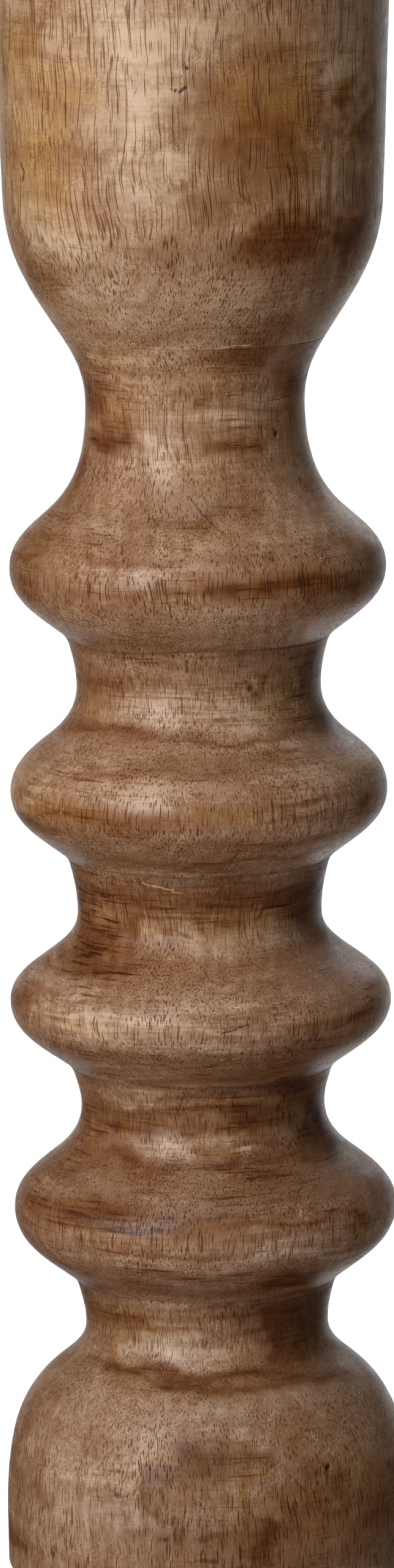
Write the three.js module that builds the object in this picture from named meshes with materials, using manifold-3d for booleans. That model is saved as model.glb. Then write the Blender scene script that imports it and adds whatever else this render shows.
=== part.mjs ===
// A turned hardwood candlestick for a pillar candle, glued up from six blocks.
// Millimetres, +Z up. The origin is on the table, under the middle of the base.

import * as THREE from 'three';
import { mergeVertices } from 'three/addons/utils/BufferGeometryUtils.js';
import Module from 'manifold-3d';

const wasm = await Module();
wasm.setup();

// Felt pads under the base
const PAD_RADIUS = 8;
const PAD_THICKNESS = 2;
const PAD_EDGE_BEVEL = 0.4;
const PAD_INSET = 3;
const PAD_COUNT = 4;

// Base block: a drum with a long shoulder under the lowest cove
const BASE_HEIGHT = 74.5;
const BASE_RADIUS = 50;
const FOOT_ROUNDING = 3;
const BASE_SIDE_RISE = 9;
const SHOULDER_RADIUS = 38.4;
const SHOULDER_DROP = 22.3;
const SHOULDER_LEAN = -50;
const BASE_COVE_DROP = 11.5;

// Bead blocks from the lowest up: a bead with the cove above it.
// Rises are measured from the block's underside, and drops from its top.
const BEAD_BLOCKS = [
  {
    name: 'lower_bead_block',
    height: 54,
    beadRadius: 47.5,
    beadRise: 17.8,
    flankRise: 31.6,
    coveDrop: 9.9,
  },
  {
    name: 'middle_bead_block',
    height: 52.5,
    beadRadius: 47.1,
    beadRise: 16.5,
    flankRise: 28.4,
    coveDrop: 13.7,
  },
  {
    name: 'upper_bead_block',
    height: 55.5,
    beadRadius: 46.6,
    beadRise: 16.8,
    flankRise: 30.2,
    coveDrop: 12.5,
  },
];
const COVE_RADIUS = 30.3;
const COVE_LIP = 2.2;
const COVE_LIP_LEAN = 15;
const FLANK_STEP = 7.2;
const FLANK_LEAN = -52;
const UNDER_BEAD_LEAN = 49;

// Neck block: the highest bead and the waisted neck
const NECK_BLOCK_HEIGHT = 74.2;
const TOP_BEAD_RADIUS = 46.3;
const TOP_BEAD_RISE = 17;
const TOP_FLANK_RADIUS = 36.5;
const TOP_FLANK_RISE = 31.4;
const TOP_FLANK_LEAN = -48;
const NECK_RADIUS = 27;
const NECK_DROP = 16.5;
const CUP_SEAM_LEAN = 32.5;

// Cup block: a drum with a round underside and a slight flare to the rim
const CUP_HEIGHT = 97.3;
const CUP_RADIUS = 46.8;
const CUP_TURN_RISE = 33.9;
const CUP_TURN_LEAN = 2;
const RIM_FLARE = 2.2;
const RIM_ROUNDING = 2.5;

// Grooved dowels across the seams
const DOWEL_RADIUS = 11;
const DOWEL_LENGTH = 38;
const DOWEL_CHAMFER = 1.2;
const DOWEL_GROOVE = 0.6;
const DOWEL_FACETS_PER_GROOVE = 3;
const DOWEL_CLEARANCE = 0.15;
const DOWEL_END_GAP = 1;

// Candle pan: a shallow metal dish on the flat top of the cup, with a seat for the spike's collar
const PAN_INSET = 6;
const PAN_LIP_SPREAD = 6;
const PAN_FLOOR = 2;
const PAN_WALL = 1.8;
const PAN_DEPTH = 3;
const PAN_LIP_LEAN = 30;
const SEAT_DEPTH = 1;
const SEAT_CLEARANCE = 0.2;

// Spike that holds the candle, with a collar flush in its seat and a shank in the wood
const SPIKE_HEIGHT = 30;
const SPIKE_RADIUS = 2.6;
const SPIKE_TIP_RADIUS = 0.35;
const SPIKE_ROOT = 1.6;
const COLLAR_RADIUS = 7;
const SHANK_RADIUS = 2.5;
const SHANK_LENGTH = 18;
const SHANK_POINT = 3;
const SHANK_CLEARANCE = 0.15;
const SHANK_END_GAP = 1;

// Countersunk screws through the pan
const SCREW_COUNT = 3;
const SCREW_INSET = 10;
const SCREW_HEAD_RADIUS = 3;
const SCREW_HEAD_LAND = 0.3;
const SCREW_SHANK_RADIUS = 1.6;
const SCREW_LENGTH = 14;
const SCREW_POINT = 2.5;
const SCREW_CROSS_LENGTH = 3.4;
const SCREW_CROSS_WIDTH = 0.7;
const SCREW_CROSS_DEPTH = 1.1;
const SCREW_RECESS = 0.1;
const SCREW_CLEARANCE = 0.12;

// Facets round the axis, and the length and least number of the steps along a curve
const WOOD_FACETS = 36;
const METAL_FACETS = 36;
const SMALL_FACETS = 16;
const CURVE_STEP = 4;
const LEAST_STEPS = 3;
const ROUNDING_STEPS = 4;
const CURVE_PULL = 0.37;

// Leans, in degrees from upright, of a curve that runs level
const OUTWARD = 90;
const INWARD = 270;

// Heights worked out from the sizes above, from the table up
const BASE_BOTTOM = PAD_THICKNESS;
const BASE_TOP = BASE_BOTTOM + BASE_HEIGHT;
let level = BASE_TOP;
const beadBottoms = BEAD_BLOCKS.map((block) => {
  const bottom = level;
  level += block.height;
  return bottom;
});
const NECK_BOTTOM = level;
const CUP_BOTTOM = NECK_BOTTOM + NECK_BLOCK_HEIGHT;
const CUP_TOP = CUP_BOTTOM + CUP_HEIGHT;
const PAN_TOP = CUP_TOP + PAN_FLOOR;
const seamHeights = [...beadBottoms, NECK_BOTTOM, CUP_BOTTOM];

// Radii worked out from the sizes above. The seams lie in the creases under the beads.
const PAD_RING_RADIUS = BASE_RADIUS - FOOT_ROUNDING - PAD_INSET - PAD_RADIUS;
const SEAM_RADIUS = COVE_RADIUS + COVE_LIP;
const FLANK_RADIUS = COVE_RADIUS + FLANK_STEP;
const RIM_RADIUS = CUP_RADIUS + RIM_FLARE;
const PAN_RADIUS = RIM_RADIUS - PAN_INSET;
const PAN_FLOOR_RADIUS = PAN_RADIUS - PAN_LIP_SPREAD;
const SEAT_RADIUS = COLLAR_RADIUS + SEAT_CLEARANCE;
const SEAT_LEVEL = PAN_TOP - SEAT_DEPTH;
const SCREW_RING_RADIUS = PAN_FLOOR_RADIUS - SCREW_INSET;
const SOCKET_RADIUS = DOWEL_RADIUS + DOWEL_CLEARANCE;
const SOCKET_DEPTH = DOWEL_LENGTH / 2 + DOWEL_END_GAP;
const SHANK_HOLE_RADIUS = SHANK_RADIUS + SHANK_CLEARANCE;

// Materials

const woodColours = {
  base_block: 0x8c6c4e,
  lower_bead_block: 0x8f6a48,
  middle_bead_block: 0x936c49,
  upper_bead_block: 0x936a46,
  neck_block: 0x9b7148,
  cup_block: 0xa87b50,
};

function wood(colour) {
  return new THREE.MeshStandardMaterial({ color: colour, roughness: 0.48, metalness: 0 });
}

function dowelWood() {
  return new THREE.MeshStandardMaterial({ color: 0xcaa678, roughness: 0.7, metalness: 0 });
}

function agedBrass() {
  return new THREE.MeshStandardMaterial({ color: 0xa9884f, roughness: 0.35, metalness: 1 });
}

function screwSteel() {
  return new THREE.MeshStandardMaterial({ color: 0x9c9a94, roughness: 0.4, metalness: 1 });
}

function felt() {
  return new THREE.MeshStandardMaterial({ color: 0x5d4a3a, roughness: 0.95, metalness: 0 });
}

// Turning

// A place on a turned outline. The lean is in degrees from upright, and is positive where the
// wood widens going up.
function place(radius, height, lean) {
  const slope = THREE.MathUtils.degToRad(lean);
  return {
    point: new THREE.Vector2(radius, height),
    heading: new THREE.Vector2(Math.sin(slope), Math.cos(slope)),
  };
}

// One smooth curve from place to place, which leaves and arrives along their leans.
function sweep(from, to) {
  const span = from.point.distanceTo(to.point);
  const pull = CURVE_PULL * span;
  const leave = from.point.clone().addScaledVector(from.heading, pull);
  const arrive = to.point.clone().addScaledVector(to.heading, -pull);
  const steps = Math.max(LEAST_STEPS, Math.round(span / CURVE_STEP));
  return new THREE.CubicBezierCurve(from.point, leave, arrive, to.point).getPoints(steps);
}

// The points of one smooth curve after another through the places.
function sweepThrough(...places) {
  const points = [places[0].point];
  for (let i = 1; i < places.length; i++) {
    points.push(...sweep(places[i - 1], places[i]).slice(1));
  }
  return points;
}

// A rounded edge: an arc about (radius, height) between two angles in degrees.
function rounding(radius, height, size, fromAngle, toAngle) {
  const arc = new THREE.EllipseCurve(
    radius,
    height,
    size,
    size,
    THREE.MathUtils.degToRad(fromAngle),
    THREE.MathUtils.degToRad(toAngle),
  );
  return arc.getPoints(ROUNDING_STEPS);
}

function at(radius, height) {
  return new THREE.Vector2(radius, height);
}

// Revolves an outline that runs from the bottom up about the Z axis.
function turn(outline, facets) {
  return new THREE.LatheGeometry(outline, facets).rotateX(Math.PI / 2);
}

// A socket in a block's underside, from its end on the axis out to the mouth.
function lowerSocket(bottom) {
  const end = bottom + SOCKET_DEPTH;
  return [at(0, end), at(SOCKET_RADIUS, end), at(SOCKET_RADIUS, bottom)];
}

// A socket in a block's top, from the mouth in to its end on the axis.
function upperSocket(top) {
  const end = top - SOCKET_DEPTH;
  return [at(SOCKET_RADIUS, top), at(SOCKET_RADIUS, end), at(0, end)];
}

// Cutting

function solidOf(geometry) {
  const bare = geometry.clone();
  bare.deleteAttribute('normal');
  bare.deleteAttribute('uv');
  const merged = mergeVertices(bare);
  return new wasm.Manifold(new wasm.Mesh({
    numProp: 3,
    vertProperties: merged.attributes.position.array,
    triVerts: new Uint32Array(merged.index.array),
  }));
}

function geometryOf(solid) {
  const mesh = solid.getMesh();
  const geometry = new THREE.BufferGeometry();
  geometry.setAttribute('position', new THREE.BufferAttribute(mesh.vertProperties, 3));
  geometry.setIndex(new THREE.BufferAttribute(mesh.triVerts, 1));
  geometry.computeVertexNormals();
  return geometry;
}

function cut(geometry, tools) {
  return geometryOf(tools.reduce((left, tool) => left.subtract(solidOf(tool)), solidOf(geometry)));
}

// Wood

function baseBlock() {
  const side = place(BASE_RADIUS, BASE_BOTTOM + BASE_SIDE_RISE, 0);
  const shoulder = place(SHOULDER_RADIUS, BASE_TOP - SHOULDER_DROP, SHOULDER_LEAN);
  const cove = place(COVE_RADIUS, BASE_TOP - BASE_COVE_DROP, 0);
  const lip = place(SEAM_RADIUS, BASE_TOP, COVE_LIP_LEAN);
  const foot = rounding(BASE_RADIUS - FOOT_ROUNDING, BASE_BOTTOM + FOOT_ROUNDING, FOOT_ROUNDING, -90, 0);
  return turn([
    at(0, BASE_BOTTOM),
    ...foot,
    ...sweepThrough(side, shoulder, cove, lip),
    ...upperSocket(BASE_TOP),
  ], WOOD_FACETS);
}

function beadBlock(block, bottom) {
  const top = bottom + block.height;
  const underside = place(SEAM_RADIUS, bottom, UNDER_BEAD_LEAN);
  const bead = place(block.beadRadius, bottom + block.beadRise, 0);
  const flank = place(FLANK_RADIUS, bottom + block.flankRise, FLANK_LEAN);
  const cove = place(COVE_RADIUS, top - block.coveDrop, 0);
  const lip = place(SEAM_RADIUS, top, COVE_LIP_LEAN);
  return turn([
    ...lowerSocket(bottom),
    ...sweepThrough(underside, bead, flank, cove, lip),
    ...upperSocket(top),
  ], WOOD_FACETS);
}

function neckBlock() {
  const underside = place(SEAM_RADIUS, NECK_BOTTOM, UNDER_BEAD_LEAN);
  const bead = place(TOP_BEAD_RADIUS, NECK_BOTTOM + TOP_BEAD_RISE, 0);
  const flank = place(TOP_FLANK_RADIUS, NECK_BOTTOM + TOP_FLANK_RISE, TOP_FLANK_LEAN);
  const neck = place(NECK_RADIUS, CUP_BOTTOM - NECK_DROP, 0);
  const seam = place(SEAM_RADIUS, CUP_BOTTOM, CUP_SEAM_LEAN);
  return turn([
    ...lowerSocket(NECK_BOTTOM),
    ...sweepThrough(underside, bead, flank, neck, seam),
    ...upperSocket(CUP_BOTTOM),
  ], WOOD_FACETS);
}

function cupBlock() {
  const seam = place(SEAM_RADIUS, CUP_BOTTOM, CUP_SEAM_LEAN);
  const drum = place(CUP_RADIUS, CUP_BOTTOM + CUP_TURN_RISE, CUP_TURN_LEAN);
  const rim = rounding(RIM_RADIUS - RIM_ROUNDING, CUP_TOP - RIM_ROUNDING, RIM_ROUNDING, 0, 90);
  const holeEnd = PAN_TOP - SHANK_LENGTH - SHANK_END_GAP;
  const turned = turn([
    ...lowerSocket(CUP_BOTTOM),
    ...sweepThrough(seam, drum),
    ...rim,
    at(SHANK_HOLE_RADIUS, CUP_TOP),
    at(SHANK_HOLE_RADIUS, holeEnd),
    at(0, holeEnd),
  ], WOOD_FACETS);
  return cut(turned, screwPlaces().map((spot) => screwHole(spot)));
}

// A dowel is turned with chamfered ends, and then every third edge of it is drawn in as a groove.
function dowel(seam) {
  const bottom = seam - DOWEL_LENGTH / 2;
  const top = seam + DOWEL_LENGTH / 2;
  const geometry = turn([
    at(0, bottom),
    at(DOWEL_RADIUS - DOWEL_CHAMFER, bottom),
    at(DOWEL_RADIUS, bottom + DOWEL_CHAMFER),
    at(DOWEL_RADIUS, top - DOWEL_CHAMFER),
    at(DOWEL_RADIUS - DOWEL_CHAMFER, top),
    at(0, top),
  ], WOOD_FACETS);
  const positions = geometry.attributes.position;
  for (let i = 0; i < positions.count; i++) {
    const x = positions.getX(i);
    const y = positions.getY(i);
    const radius = Math.hypot(x, y);
    const edge = Math.round(Math.atan2(y, x) / (2 * Math.PI / WOOD_FACETS));
    if (radius > DOWEL_GROOVE && edge % DOWEL_FACETS_PER_GROOVE === 0) {
      const share = (radius - DOWEL_GROOVE) / radius;
      positions.setXY(i, x * share, y * share);
    }
  }
  return geometry;
}

// Metal

// The dish's underside runs out and up to the rounded lip, and its inside runs back down.
function pan() {
  const roll = PAN_WALL / 2;
  const lipTop = PAN_TOP + PAN_DEPTH;
  const lip = rounding(PAN_RADIUS - roll, lipTop - roll, roll, -PAN_LIP_LEAN, 180 - PAN_LIP_LEAN);
  const underside = place(PAN_FLOOR_RADIUS, CUP_TOP, OUTWARD);
  const outerLip = place(lip[0].x, lip[0].y, PAN_LIP_LEAN);
  const innerLip = place(lip.at(-1).x, lip.at(-1).y, PAN_LIP_LEAN + 180);
  const floor = place(PAN_FLOOR_RADIUS - PAN_WALL, PAN_TOP, INWARD);
  const dish = turn([
    at(SHANK_HOLE_RADIUS, SEAT_LEVEL),
    at(SHANK_HOLE_RADIUS, CUP_TOP),
    ...sweepThrough(underside, outerLip),
    ...lip.slice(1, -1),
    ...sweepThrough(innerLip, floor),
    at(SEAT_RADIUS, PAN_TOP),
    at(SEAT_RADIUS, SEAT_LEVEL),
    at(SHANK_HOLE_RADIUS, SEAT_LEVEL),
  ], METAL_FACETS);
  return cut(dish, screwPlaces().map((spot) => screwHole(spot)));
}

function spike() {
  const shankEnd = PAN_TOP - SHANK_LENGTH;
  const root = rounding(SPIKE_RADIUS + SPIKE_ROOT, PAN_TOP + SPIKE_ROOT, SPIKE_ROOT, 270, 180);
  return turn([
    at(0, shankEnd),
    at(SHANK_RADIUS, shankEnd + SHANK_POINT),
    at(SHANK_RADIUS, SEAT_LEVEL),
    at(COLLAR_RADIUS, SEAT_LEVEL),
    at(COLLAR_RADIUS, PAN_TOP),
    ...root,
    at(SPIKE_TIP_RADIUS, PAN_TOP + SPIKE_HEIGHT - SPIKE_TIP_RADIUS),
    at(0, PAN_TOP + SPIKE_HEIGHT),
  ], SMALL_FACETS);
}

function screwPlaces() {
  const places = [];
  for (let i = 0; i < SCREW_COUNT; i++) {
    const angle = Math.PI / 2 + (i * 2 * Math.PI) / SCREW_COUNT;
    places.push(new THREE.Vector3(
      SCREW_RING_RADIUS * Math.cos(angle),
      SCREW_RING_RADIUS * Math.sin(angle),
      PAN_TOP - SCREW_RECESS,
    ));
  }
  return places;
}

// The screw's outline from its point up to its head, with the same clearance all round.
function screwOutline(clearance, headTop) {
  const cone = SCREW_HEAD_RADIUS - SCREW_SHANK_RADIUS;
  return [
    at(0, -SCREW_LENGTH - clearance),
    at(SCREW_SHANK_RADIUS + clearance, -SCREW_LENGTH + SCREW_POINT),
    at(SCREW_SHANK_RADIUS + clearance, -SCREW_HEAD_LAND - cone - clearance),
    at(SCREW_HEAD_RADIUS + clearance, -SCREW_HEAD_LAND - clearance),
    at(SCREW_HEAD_RADIUS + clearance, headTop),
    at(0, headTop),
  ];
}

function screw(spot) {
  const body = turn(screwOutline(0, 0), SMALL_FACETS);
  const bar = new THREE.BoxGeometry(SCREW_CROSS_LENGTH, SCREW_CROSS_WIDTH, 2 * SCREW_CROSS_DEPTH);
  const crossBar = bar.clone().rotateZ(Math.PI / 2);
  return cut(body, [bar, crossBar]).translate(spot.x, spot.y, spot.z);
}

// The hole that a screw goes down, which is open above its head.
function screwHole(spot) {
  const aboveHead = SCREW_HEAD_RADIUS;
  return turn(screwOutline(SCREW_CLEARANCE, aboveHead), SMALL_FACETS).translate(spot.x, spot.y, spot.z);
}

// Felt

function footPad(angle) {
  return turn([
    at(0, 0),
    at(PAD_RADIUS - PAD_EDGE_BEVEL, 0),
    at(PAD_RADIUS, PAD_EDGE_BEVEL),
    at(PAD_RADIUS, PAD_THICKNESS),
    at(0, PAD_THICKNESS),
  ], SMALL_FACETS).translate(PAD_RING_RADIUS * Math.cos(angle), PAD_RING_RADIUS * Math.sin(angle), 0);
}

// The whole candlestick

const candlestick = new THREE.Group();
candlestick.name = 'candlestick';

function add(name, geometry, material) {
  const mesh = new THREE.Mesh(geometry, material);
  mesh.name = name;
  candlestick.add(mesh);
}

add('base_block', baseBlock(), wood(woodColours.base_block));
BEAD_BLOCKS.forEach((block, i) => {
  add(block.name, beadBlock(block, beadBottoms[i]), wood(woodColours[block.name]));
});
add('neck_block', neckBlock(), wood(woodColours.neck_block));
add('cup_block', cupBlock(), wood(woodColours.cup_block));

seamHeights.forEach((seam, i) => add(`joint_dowel_${i + 1}`, dowel(seam), dowelWood()));

add('candle_pan', pan(), agedBrass());
add('pricket_spike', spike(), agedBrass());
screwPlaces().forEach((spot, i) => add(`pan_screw_${i + 1}`, screw(spot), screwSteel()));

for (let i = 0; i < PAD_COUNT; i++) {
  const angle = Math.PI / 4 + (i * 2 * Math.PI) / PAD_COUNT;
  add(`foot_pad_${i + 1}`, footPad(angle), felt());
}

export default candlestick;
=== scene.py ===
"""A turned hardwood candlestick for a pillar candle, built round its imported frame.

Metres, +Z up, with the origin on the table under the middle of the base. Angles round the
turning axis are counted from the front, and are positive to the right.
"""

import math
from types import SimpleNamespace

import bpy
import numpy as np
from bpy.props import FloatProperty, FloatVectorProperty, IntProperty, PointerProperty
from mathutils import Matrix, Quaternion, Vector


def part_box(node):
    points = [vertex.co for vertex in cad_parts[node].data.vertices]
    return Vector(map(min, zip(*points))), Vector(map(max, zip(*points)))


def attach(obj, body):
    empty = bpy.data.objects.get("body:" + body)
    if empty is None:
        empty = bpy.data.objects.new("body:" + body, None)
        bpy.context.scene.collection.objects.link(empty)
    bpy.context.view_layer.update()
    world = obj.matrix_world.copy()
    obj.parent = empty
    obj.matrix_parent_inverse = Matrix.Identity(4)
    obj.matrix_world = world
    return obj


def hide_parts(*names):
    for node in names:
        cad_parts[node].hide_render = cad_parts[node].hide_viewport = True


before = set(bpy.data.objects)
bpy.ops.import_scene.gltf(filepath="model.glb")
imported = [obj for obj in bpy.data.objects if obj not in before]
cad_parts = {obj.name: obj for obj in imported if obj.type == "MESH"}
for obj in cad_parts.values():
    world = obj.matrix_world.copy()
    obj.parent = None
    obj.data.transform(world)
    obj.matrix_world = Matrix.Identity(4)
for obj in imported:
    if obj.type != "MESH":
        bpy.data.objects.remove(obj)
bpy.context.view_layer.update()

bl_info = {
    "name": "Turned candlestick",
    "version": (1, 0, 0),
    "blender": (4, 5, 0),
    "location": "3D View > Sidebar > Candlestick",
    "description": "Builds a turned hardwood candlestick with a metal candle pan",
    "category": "Add Mesh",
}

MM = 0.001
BEAD_BLOCKS = ("lower_bead_block", "middle_bead_block", "upper_bead_block")
WOOD_BLOCKS = ("base_block", *BEAD_BLOCKS, "neck_block", "cup_block")
DOWELS = tuple(f"joint_dowel_{i}" for i in range(1, 6))
SCREWS = tuple(f"pan_screw_{i}" for i in range(1, 4))
PADS = tuple(f"foot_pad_{i}" for i in range(1, 5))

BOTTOM = {name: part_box(name)[0].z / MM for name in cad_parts}
TOP = {name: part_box(name)[1].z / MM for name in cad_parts}
SEAMS = [BOTTOM[name] for name in WOOD_BLOCKS[1:]]
CUP_TOP = TOP["cup_block"]

# Lengths in mm that are no settings.
HOLE_WINDOW = 4.4  # half the width of the window that joins a hole to the flat face round it
HOLE_BEVEL = 0.15  # the bevel of a countersunk hole
SCREW_LAND = 0.3  # the upright edge of a screw's head
SCREW_BEVEL = 0.12  # the bevel round the top of the head
SCREW_POINT = 2.5  # the length of a screw's point
RECESS_DEPTH = 1.1  # the depth of the cross recess
SPIKE_GAP = 0.15  # the gap round the spike's shank
SPIKE_POINT = 3  # the length of the point under the shank
SPIKE_TIP = 0.35  # the radius of the rounded tip
COLLAR_BEVEL = 0.25  # the bevel round the spike's collar
END_GAP = 1  # the spare length of a hole beyond a dowel or the spike
DOWEL_BEVEL = 1.2  # the bevel at a dowel's ends
PAD_EDGE = 0.5  # the rounding of a pad's lower edge
PAD_FUZZ = 0.05  # how uneven a pad's edge is
END_STEP = 0.13  # the distance between the outline points at a wood block's ends
SHORT_BLOCK_STEP = 0.46  # and between those in its middle
LONG_BLOCK_STEP = 0.56  # or, in a block taller than LONG_BLOCK, between those in its middle
LONG_BLOCK = 60
TALL_BLOCK = 90  # a block taller than this has taller seeded stains
INSIDE = 24  # nearer the axis than this is inside the wood, and stays as it was turned

# Angles in degrees.
LIP_LEAN = 30  # how far the pan's lip leans outwards
SHARP_EDGE = 38  # an edge that turns by more than this is shaded as an edge
CAMERA_DIP = 9.25  # how far the camera looks down
CAMERA_ROLL = -0.67  # how far it is turned about its own line of sight

CAMERA_SHIFT = -0.56  # mm from the middle to the right
WHITE = (1, 1, 1, 1)


def size(name, millimetres, text):
    """A length property whose default is given in millimetres."""
    return FloatProperty(
        name=name,
        description=text,
        default=millimetres * MM,
        unit="LENGTH",
        subtype="DISTANCE",
        precision=5,
    )


def colour(name, value, text):
    """A colour property with a linear default."""
    return FloatVectorProperty(
        name=name, description=text, default=value, size=3, min=0, max=1, subtype="COLOR"
    )


def number(name, value, text):
    """A plain number property."""
    return FloatProperty(name=name, description=text, default=value, precision=4)


class CandlestickWoodSizes(bpy.types.PropertyGroup):
    """Radii, rises and drops of the turned outline."""

    base_radius: size("Base radius", 50, "Radius of the base drum")
    foot_rounding: size("Foot rounding", 3, "Radius of the rounded lower edge of the base")
    side_rise: size("Base side rise", 9, "Height of the widest place above the base's underside")
    shoulder_radius: size("Shoulder radius", 38.4, "Radius half way up the base's shoulder")
    shoulder_drop: size("Shoulder drop", 22.3, "Depth of that place below the base block's top")
    base_cove_drop: size("Base cove drop", 11.5, "Depth of the lowest cove below its block's top")
    lower_bead_radius: size("Lower bead radius", 47.7, "Radius of the lowest bead")
    lower_bead_rise: size("Lower bead rise", 17.8, "Height of the bead above its seam")
    lower_flank_rise: size("Lower flank rise", 31.6, "Height of the bead's upper flank")
    lower_cove_drop: size("Lower cove drop", 9.9, "Depth of the cove below its block's top")
    middle_bead_radius: size("Middle bead radius", 47.3, "Radius of the middle bead")
    middle_bead_rise: size("Middle bead rise", 16.5, "Height of the bead above its seam")
    middle_flank_rise: size("Middle flank rise", 28.4, "Height of the bead's upper flank")
    middle_cove_drop: size("Middle cove drop", 13.7, "Depth of the cove below its block's top")
    upper_bead_radius: size("Upper bead radius", 46.8, "Radius of the upper bead")
    upper_bead_rise: size("Upper bead rise", 16.8, "Height of the bead above its seam")
    upper_flank_rise: size("Upper flank rise", 30.2, "Height of the bead's upper flank")
    upper_cove_drop: size("Upper cove drop", 12.5, "Depth of the cove below its block's top")
    flank_radius: size("Flank radius", 37.5, "Radius half way down each bead's upper flank")
    cove_radius: size("Cove radius", 30.3, "Least radius of the coves")
    seam_radius: size("Seam radius", 32.5, "Radius of the creases and the seams")
    top_bead_radius: size("Top bead radius", 46.5, "Radius of the bead under the neck")
    top_bead_rise: size("Top bead rise", 17, "Height of that bead above its seam")
    top_flank_radius: size("Top flank radius", 36.5, "Radius half way up its upper flank")
    top_flank_rise: size("Top flank rise", 31.4, "Height of that place above the seam")
    neck_radius: size("Neck radius", 27, "Least radius of the neck")
    neck_drop: size("Neck drop", 16.5, "Depth of the neck's waist below the cup's seam")
    cup_radius: size("Cup radius", 46.8, "Radius of the cup where its side begins")
    cup_turn_rise: size("Cup turn rise", 33.9, "Height of that place above the cup's seam")
    rim_radius: size("Rim radius", 49, "Radius of the cup at its rim")
    rim_rounding: size("Rim rounding", 2.5, "Radius of the rounded rim")
    crease_rounding: size("Crease rounding", 1.9, "Reach of the soft corner each side of a crease")
    seam_groove: size("Seam groove", 0.12, "Depth of the fine line where two blocks meet")
    wobble: size("Turning wobble", 0.16, "How far the hand-turned surface strays")


class CandlestickWoodLook(bpy.types.PropertyGroup):
    """Colours and finish of the turned wood."""

    palest: colour("Palest wood", (0.72, 0.50, 0.33), "The palest streaks")
    middle: colour("Middle wood", (0.39, 0.20, 0.101), "The commonest tone")
    rich: colour("Rich wood", (0.255, 0.104, 0.036), "The browner streaks")
    dark: colour("Dark wood", (0.165, 0.048, 0.010), "The darkest streaks and most pores")
    # This colour also paints the shade in the creases and inside the holes at the middle of dents.
    wax: colour("Old wax", (0.075, 0.017, 0.004), "Dark wax in the deepest pores and marks")
    amber: colour("Amber tint", (1.0, 0.88, 0.50), "What an amber stain multiplies the wood by")
    # Under the beads the haze tint also paints the grey sheen and the shade of the undersides.
    haze: colour("Haze tint", (0.87, 0.895, 0.95), "What a cool grey-brown stain multiplies the wood by")
    pore_spacing: size("Pore spacing", 0.46, "Mean distance between pores across the grain")
    pore_length: size("Pore length", 24, "Mean distance between pores along the grain")
    ring_spacing: size("Ring spacing", 4.6, "Mean distance between growth rings")


class CandlestickMetalLook(bpy.types.PropertyGroup):
    """Sizes and colours of the pan, the spike and the screws."""

    brass: colour("Brass", (0.46, 0.31, 0.13), "Bare places of the pan and spike")
    patina: colour("Patina", (0.20, 0.125, 0.055), "Aged places of the pan and spike")
    steel: colour("Screw steel", (0.42, 0.41, 0.39), "Zinc-coated screws")
    pan_floor_radius: size("Pan floor radius", 35.2, "Radius of the pan's flat floor")
    pan_floor: size("Pan floor", 2, "Thickness of the pan's floor")
    pan_wall: size("Pan wall", 1.8, "Thickness of the pan's lip")
    collar_radius: size("Collar radius", 7, "Radius of the spike's collar")
    seat_clearance: size("Seat clearance", 0.2, "Gap round the collar in its seat")
    seat_depth: size("Seat depth", 1, "Depth of the collar's seat in the pan")
    spike_radius: size("Spike radius", 2.6, "Radius of the spike above its root")
    spike_root: size("Spike root", 1.6, "Radius of the hollow curve at the spike's root")
    spike_shank: size("Spike shank", 2.5, "Radius of the spike's shank in the wood")
    screw_head: size("Screw head", 3, "Radius of a screw's head")
    screw_shank: size("Screw shank", 1.6, "Radius of a screw's shank")
    screw_clearance: size("Screw clearance", 0.12, "Gap round a screw in its hole")


class CandlestickSmallPieces(bpy.types.PropertyGroup):
    """Sizes and colours of the dowels and the felt pads."""

    dowel: colour("Dowel wood", (0.60, 0.40, 0.20), "Plain dry hardwood")
    dowel_radius: size("Dowel radius", 11, "Radius of the joint dowels")
    dowel_groove: size("Dowel groove", 0.6, "Depth of the glue grooves")
    dowel_clearance: size("Dowel clearance", 0.15, "Gap round a dowel in its socket")
    groove_count: IntProperty(name="Grooves", description="Glue grooves per dowel", default=12)
    felt: colour("Felt", (0.10, 0.07, 0.05), "Pressed wool felt")
    pad_radius: size("Pad radius", 8, "Radius of the felt pads")


class CandlestickStage(bpy.types.PropertyGroup):
    """The camera and the soft studio light."""

    focal_length: number("Focal length", 206.0, "Camera lens in millimetres")
    camera_height: size("Camera height", 558.7, "Height of the camera above the table")
    camera_distance: size("Camera distance", 2197.5, "Distance of the camera from the axis")
    key_power: number("Key power", 13.5, "Watts of the tall lamp at the left front")
    side_power: number("Side power", 2.6, "Watts of the lamp at the left")
    top_power: number("Top power", 4.6, "Watts of the lamp above the front")
    back_power: number("Back power", 4.8, "Watts of the lamp behind")
    ambient: number("Ambient", 0.03, "Light from all round, where 1 is white")


class CandlestickSettings(bpy.types.PropertyGroup):
    """All the settings of the candlestick."""

    wood: PointerProperty(type=CandlestickWoodSizes)
    wood_look: PointerProperty(type=CandlestickWoodLook)
    metal: PointerProperty(type=CandlestickMetalLook)
    small: PointerProperty(type=CandlestickSmallPieces)
    stage: PointerProperty(type=CandlestickStage)


# Outlines


def sweep(places, pull=0.37, steps=120):
    """Smooth curves from place to place, each (radius, height, lean) in mm and degrees from upright.

    Each curve is the cubic with its handles along the leans, pull times the span long.
    """
    points = [np.array([places[0][:2]], float)]
    t = np.linspace(0, 1, steps + 1)[1:, None]
    for (r0, z0, lean0), (r1, z1, lean1) in zip(places, places[1:]):
        start, end = np.array([r0, z0]), np.array([r1, z1])
        span = np.linalg.norm(end - start)
        leave = start + pull * span * heading(lean0)
        arrive = end - pull * span * heading(lean1)
        points.append(
            (1 - t) ** 3 * start
            + 3 * (1 - t) ** 2 * t * leave
            + 3 * (1 - t) * t**2 * arrive
            + t**3 * end
        )
    return np.concatenate(points)


def heading(lean):
    """The unit step (radius, height) of a line that leans so many degrees from upright."""
    angle = math.radians(lean)
    return np.array([math.sin(angle), math.cos(angle)])


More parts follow.
